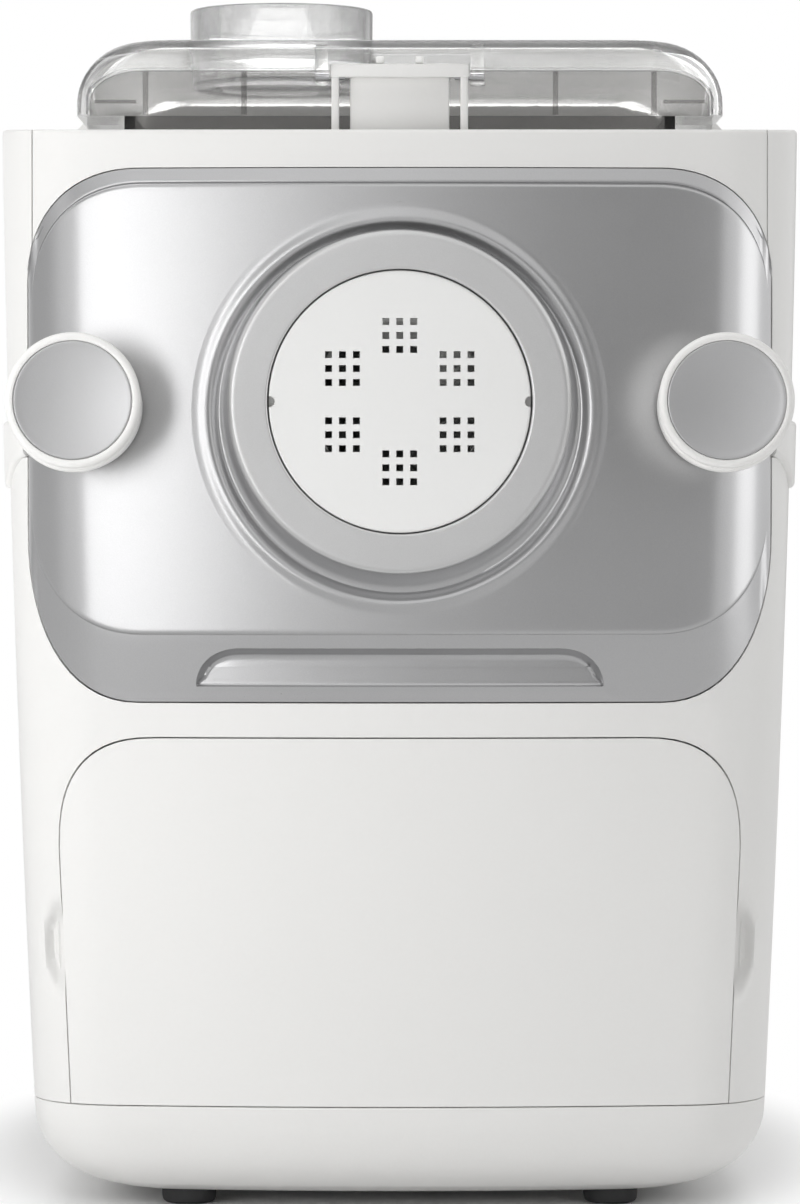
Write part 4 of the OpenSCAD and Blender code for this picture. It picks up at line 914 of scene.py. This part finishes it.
def signOutlines(word):
    # the raised sign of a key: ring with a stroke, triangle, three bars, cross or bar
    a = np.radians(np.linspace(125, 415, 30))
    circle = np.column_stack([np.cos(a), np.sin(a)])
    b, w = keys["signBar"], keys["signHalf"]
    return dict(power=[np.vstack([circle * 2.7, circle[::-1] * 2.2]), rectangle(-b, b, 0.6, 3.1)],
                start=[np.array([[-1.5, -2.1], [2.4, 0], [-1.5, 2.1]])],
                menu=[rectangle(-w, w, y - b, y + b) for y in (-1.5, 0, 1.5)],
                plus=[rectangle(-w, -b, -b, b), rectangle(-b, b, -w, w), rectangle(b, w, -b, b)],
                minus=[rectangle(-w, w, -b, b)])[word]


def makeKey(word, x):
    # a turned cap with a rounded edge, hollow by 0.35 (1 - (q/(r - 1.2))^2), and its sign
    r, top, y = keys["radius"], keys["top"], keys["y"]
    dish = [[q, top - 0.35 * (1 - (q / (r - 1.2)) ** 2)] for q in (0, 1.5, 3, 4.4, r - 1.2)]
    stem = [[r, 332.2], [r - 0.2, 332], [2.2, 332], [2.2, 330.9], [0, 330.9]]
    profile = [*dish, *quarter(r - 0.9, top - 0.9, 0.9, 0.9, 7)[::-1], *stem]
    Shape().grid(lathe(profile, x, y, 72, upright=True), loopCols=True).piece(
        word + "KeyCap", word + "_key", [word + "_button"], "key_plastic", smooth=45)
    sign = Shape()
    for outline in signOutlines(word):
        sign.closed(plate(outline + [x, y], top - 0.8, top + 0.02))
    sign.piece(word + "Sign", word + "_key", [], "dark_plastic")


makeLid()
makeCup()
makeChamber()
makeBracket()
makeTower()
for word, x in keys["places"].items():
    makeKey(word, x)
print("lid, cup, chamber, control tower and keys")


# camera, light and room

def makeCamera():
    # principal point at pixel 399.75, 480 of the 800 x 1204 frame, looking straight back
    camData = bpy.data.cameras.new("camera")
    camData.sensor_width, camData.lens = 36, 150.5
    camData.shift_x, camData.shift_y = 0.25 / 1204, -122 / 1204
    scene.camera = addObject("camera", camData)
    scene.camera.location = (0, -1.615, 0.213)
    scene.camera.rotation_euler = (math.pi / 2, 0, 0)


# each lamp: place and size in metres, power in watts, whether reflections show it
lampsUsed = dict(
    stripLeft=[(-0.50, -1.55, 0.24), (0.24, 0.62), 1.5, True],
    key=[(-0.38, -0.52, 0.28), (0.26, 0.44), 1.3, False],
    fillLeft=[(-1.6, 0.2, 0.5), (0.8, 1.2), 2.0, False],
    fillRight=[(1.5, 0.25, 0.5), (0.8, 1.2), 3.5, False],
    stripRight=[(1.1, -0.5, 0.24), (0.6, 0.44), 0.86, True],
    overhead=[(0.0, -0.2, 1.5), (1.4, 1.2), 10.0, False],
    behind=[(0.3, 1.6, 0.7), (1.4, 1.0), 11.0, False])


def makeLights():
    # rectangular lamps that face the middle of the object
    for lampName, (place, size, power, mirrored) in lampsUsed.items():
        lamp = bpy.data.lights.new(lampName, "AREA")
        lamp.shape, lamp.size, lamp.size_y, lamp.energy = "RECTANGLE", size[0], size[1], power
        o = addObject(lampName, lamp)
        o.location = place
        o.rotation_euler = (Vector((0, -0.05, 0.2)) - o.location).to_track_quat("-Z", "Y").to_euler()
        o.visible_glossy = mirrored


# greys of the studio that metal reflects, from left (0) to right (1): level with the object, and above or below it
room = dict(diffuse=0.32, floorWhite=0.92, floorNear=0.165, floorFar=0.225, mirrored=0.62,
            levelBand=[(0.0, 0.45), (0.02, 0.42), (0.05, 0.5), (0.1, 0.85), (0.15, 1.0), (0.38, 1.0), (0.42, 0.8),
                       (0.48, 0.62), (0.525, 0.4), (0.56, 0.06), (0.62, 0.0), (0.69, 0.03), (0.745, 0.95), (1.0, 1.0)],
            tiltedBand=[(0.0, 0.9), (0.12, 0.8), (0.2, 0.4), (0.27, 0.4), (0.33, 0.95), (0.42, 1.0), (0.5, 0.88),
                        (0.6, 0.74), (0.7, 0.7), (0.8, 0.95), (1.0, 1.0)])


def makeWorld():
    # white for the camera and through clear plastic; metal sees a studio with darker corners; the rest a plain grey
    world = bpy.data.worlds.new("room")
    scene.world = world
    world.use_nodes = True
    background = world.node_tree.nodes["Background"]
    wire = Wire(world.node_tree, None)
    sky = wire.add("ShaderNodeTexCoord")
    across, up = wire.add("ShaderNodeSeparateXYZ", Vector=sky), wire.add("ShaderNodeSeparateXYZ", out=2, Vector=sky)
    levelBand, tiltedBand = [wire.add("ShaderNodeValToRGB", dict(stops=room[band]), Fac=across * 0.5 + 0.5)
                             for band in ("levelBand", "tiltedBand")]
    tilt = wire.add("ShaderNodeMath", dict(operation="ABSOLUTE"), i0=up)
    bands = tilt.stepped(0.12, 0.3).mixed(levelBand, tiltedBand)
    level = room["diffuse"] + wire.ray("camera", "transmission") * (1 - room["diffuse"])
    wire.ray("glossy").mixed(level, bands).into(background.inputs["Color"])
    background.inputs["Strength"].default_value = 1


def makeFloor():
    # the lit floor with the shadow close to the object, plain white for the camera further out
    floorMesh = bpy.data.meshes.new("floor")
    floorMesh.from_pydata([(-4, -4, 0), (4, -4, 0), (4, 4, 0), (-4, 4, 0)], [], [(0, 1, 2, 3)])
    floor = addObject("floor", floorMesh)
    m = bpy.data.materials.new("floor")
    m.use_nodes = True
    lit = m.node_tree.nodes["Principled BSDF"]
    lit.inputs["Base Color"].default_value = grey(room["floorWhite"])
    lit.inputs["Roughness"].default_value = 0.7
    wire = Wire(m.node_tree, None)
    place = wire.add("ShaderNodeTexCoord", out=3)
    oval = wire.add("ShaderNodeVectorMath", dict(operation="MULTIPLY"), i0=place, i1=(1.45, 0.87, 0))
    distance = wire.add("ShaderNodeVectorMath", dict(operation="LENGTH"), out=1, i0=oval)
    far = distance.stepped(room["floorNear"], room["floorFar"])
    seen = wire.ray("camera", "glossy", "transmission")
    white = wire.add("ShaderNodeEmission", Color=wire.ray("glossy").mixed(grey(1), grey(room["mirrored"])))
    both = wire.add("ShaderNodeMixShader", i0=far * seen, i1=Wire(m.node_tree, lit.outputs[0]), i2=white)
    both.into(m.node_tree.nodes["Material Output"].inputs["Surface"])
    floorMesh.materials.append(m)


makeCamera()
makeLights()
makeWorld()
makeFloor()
scene.view_settings.view_transform = "Standard"
print("camera and light")
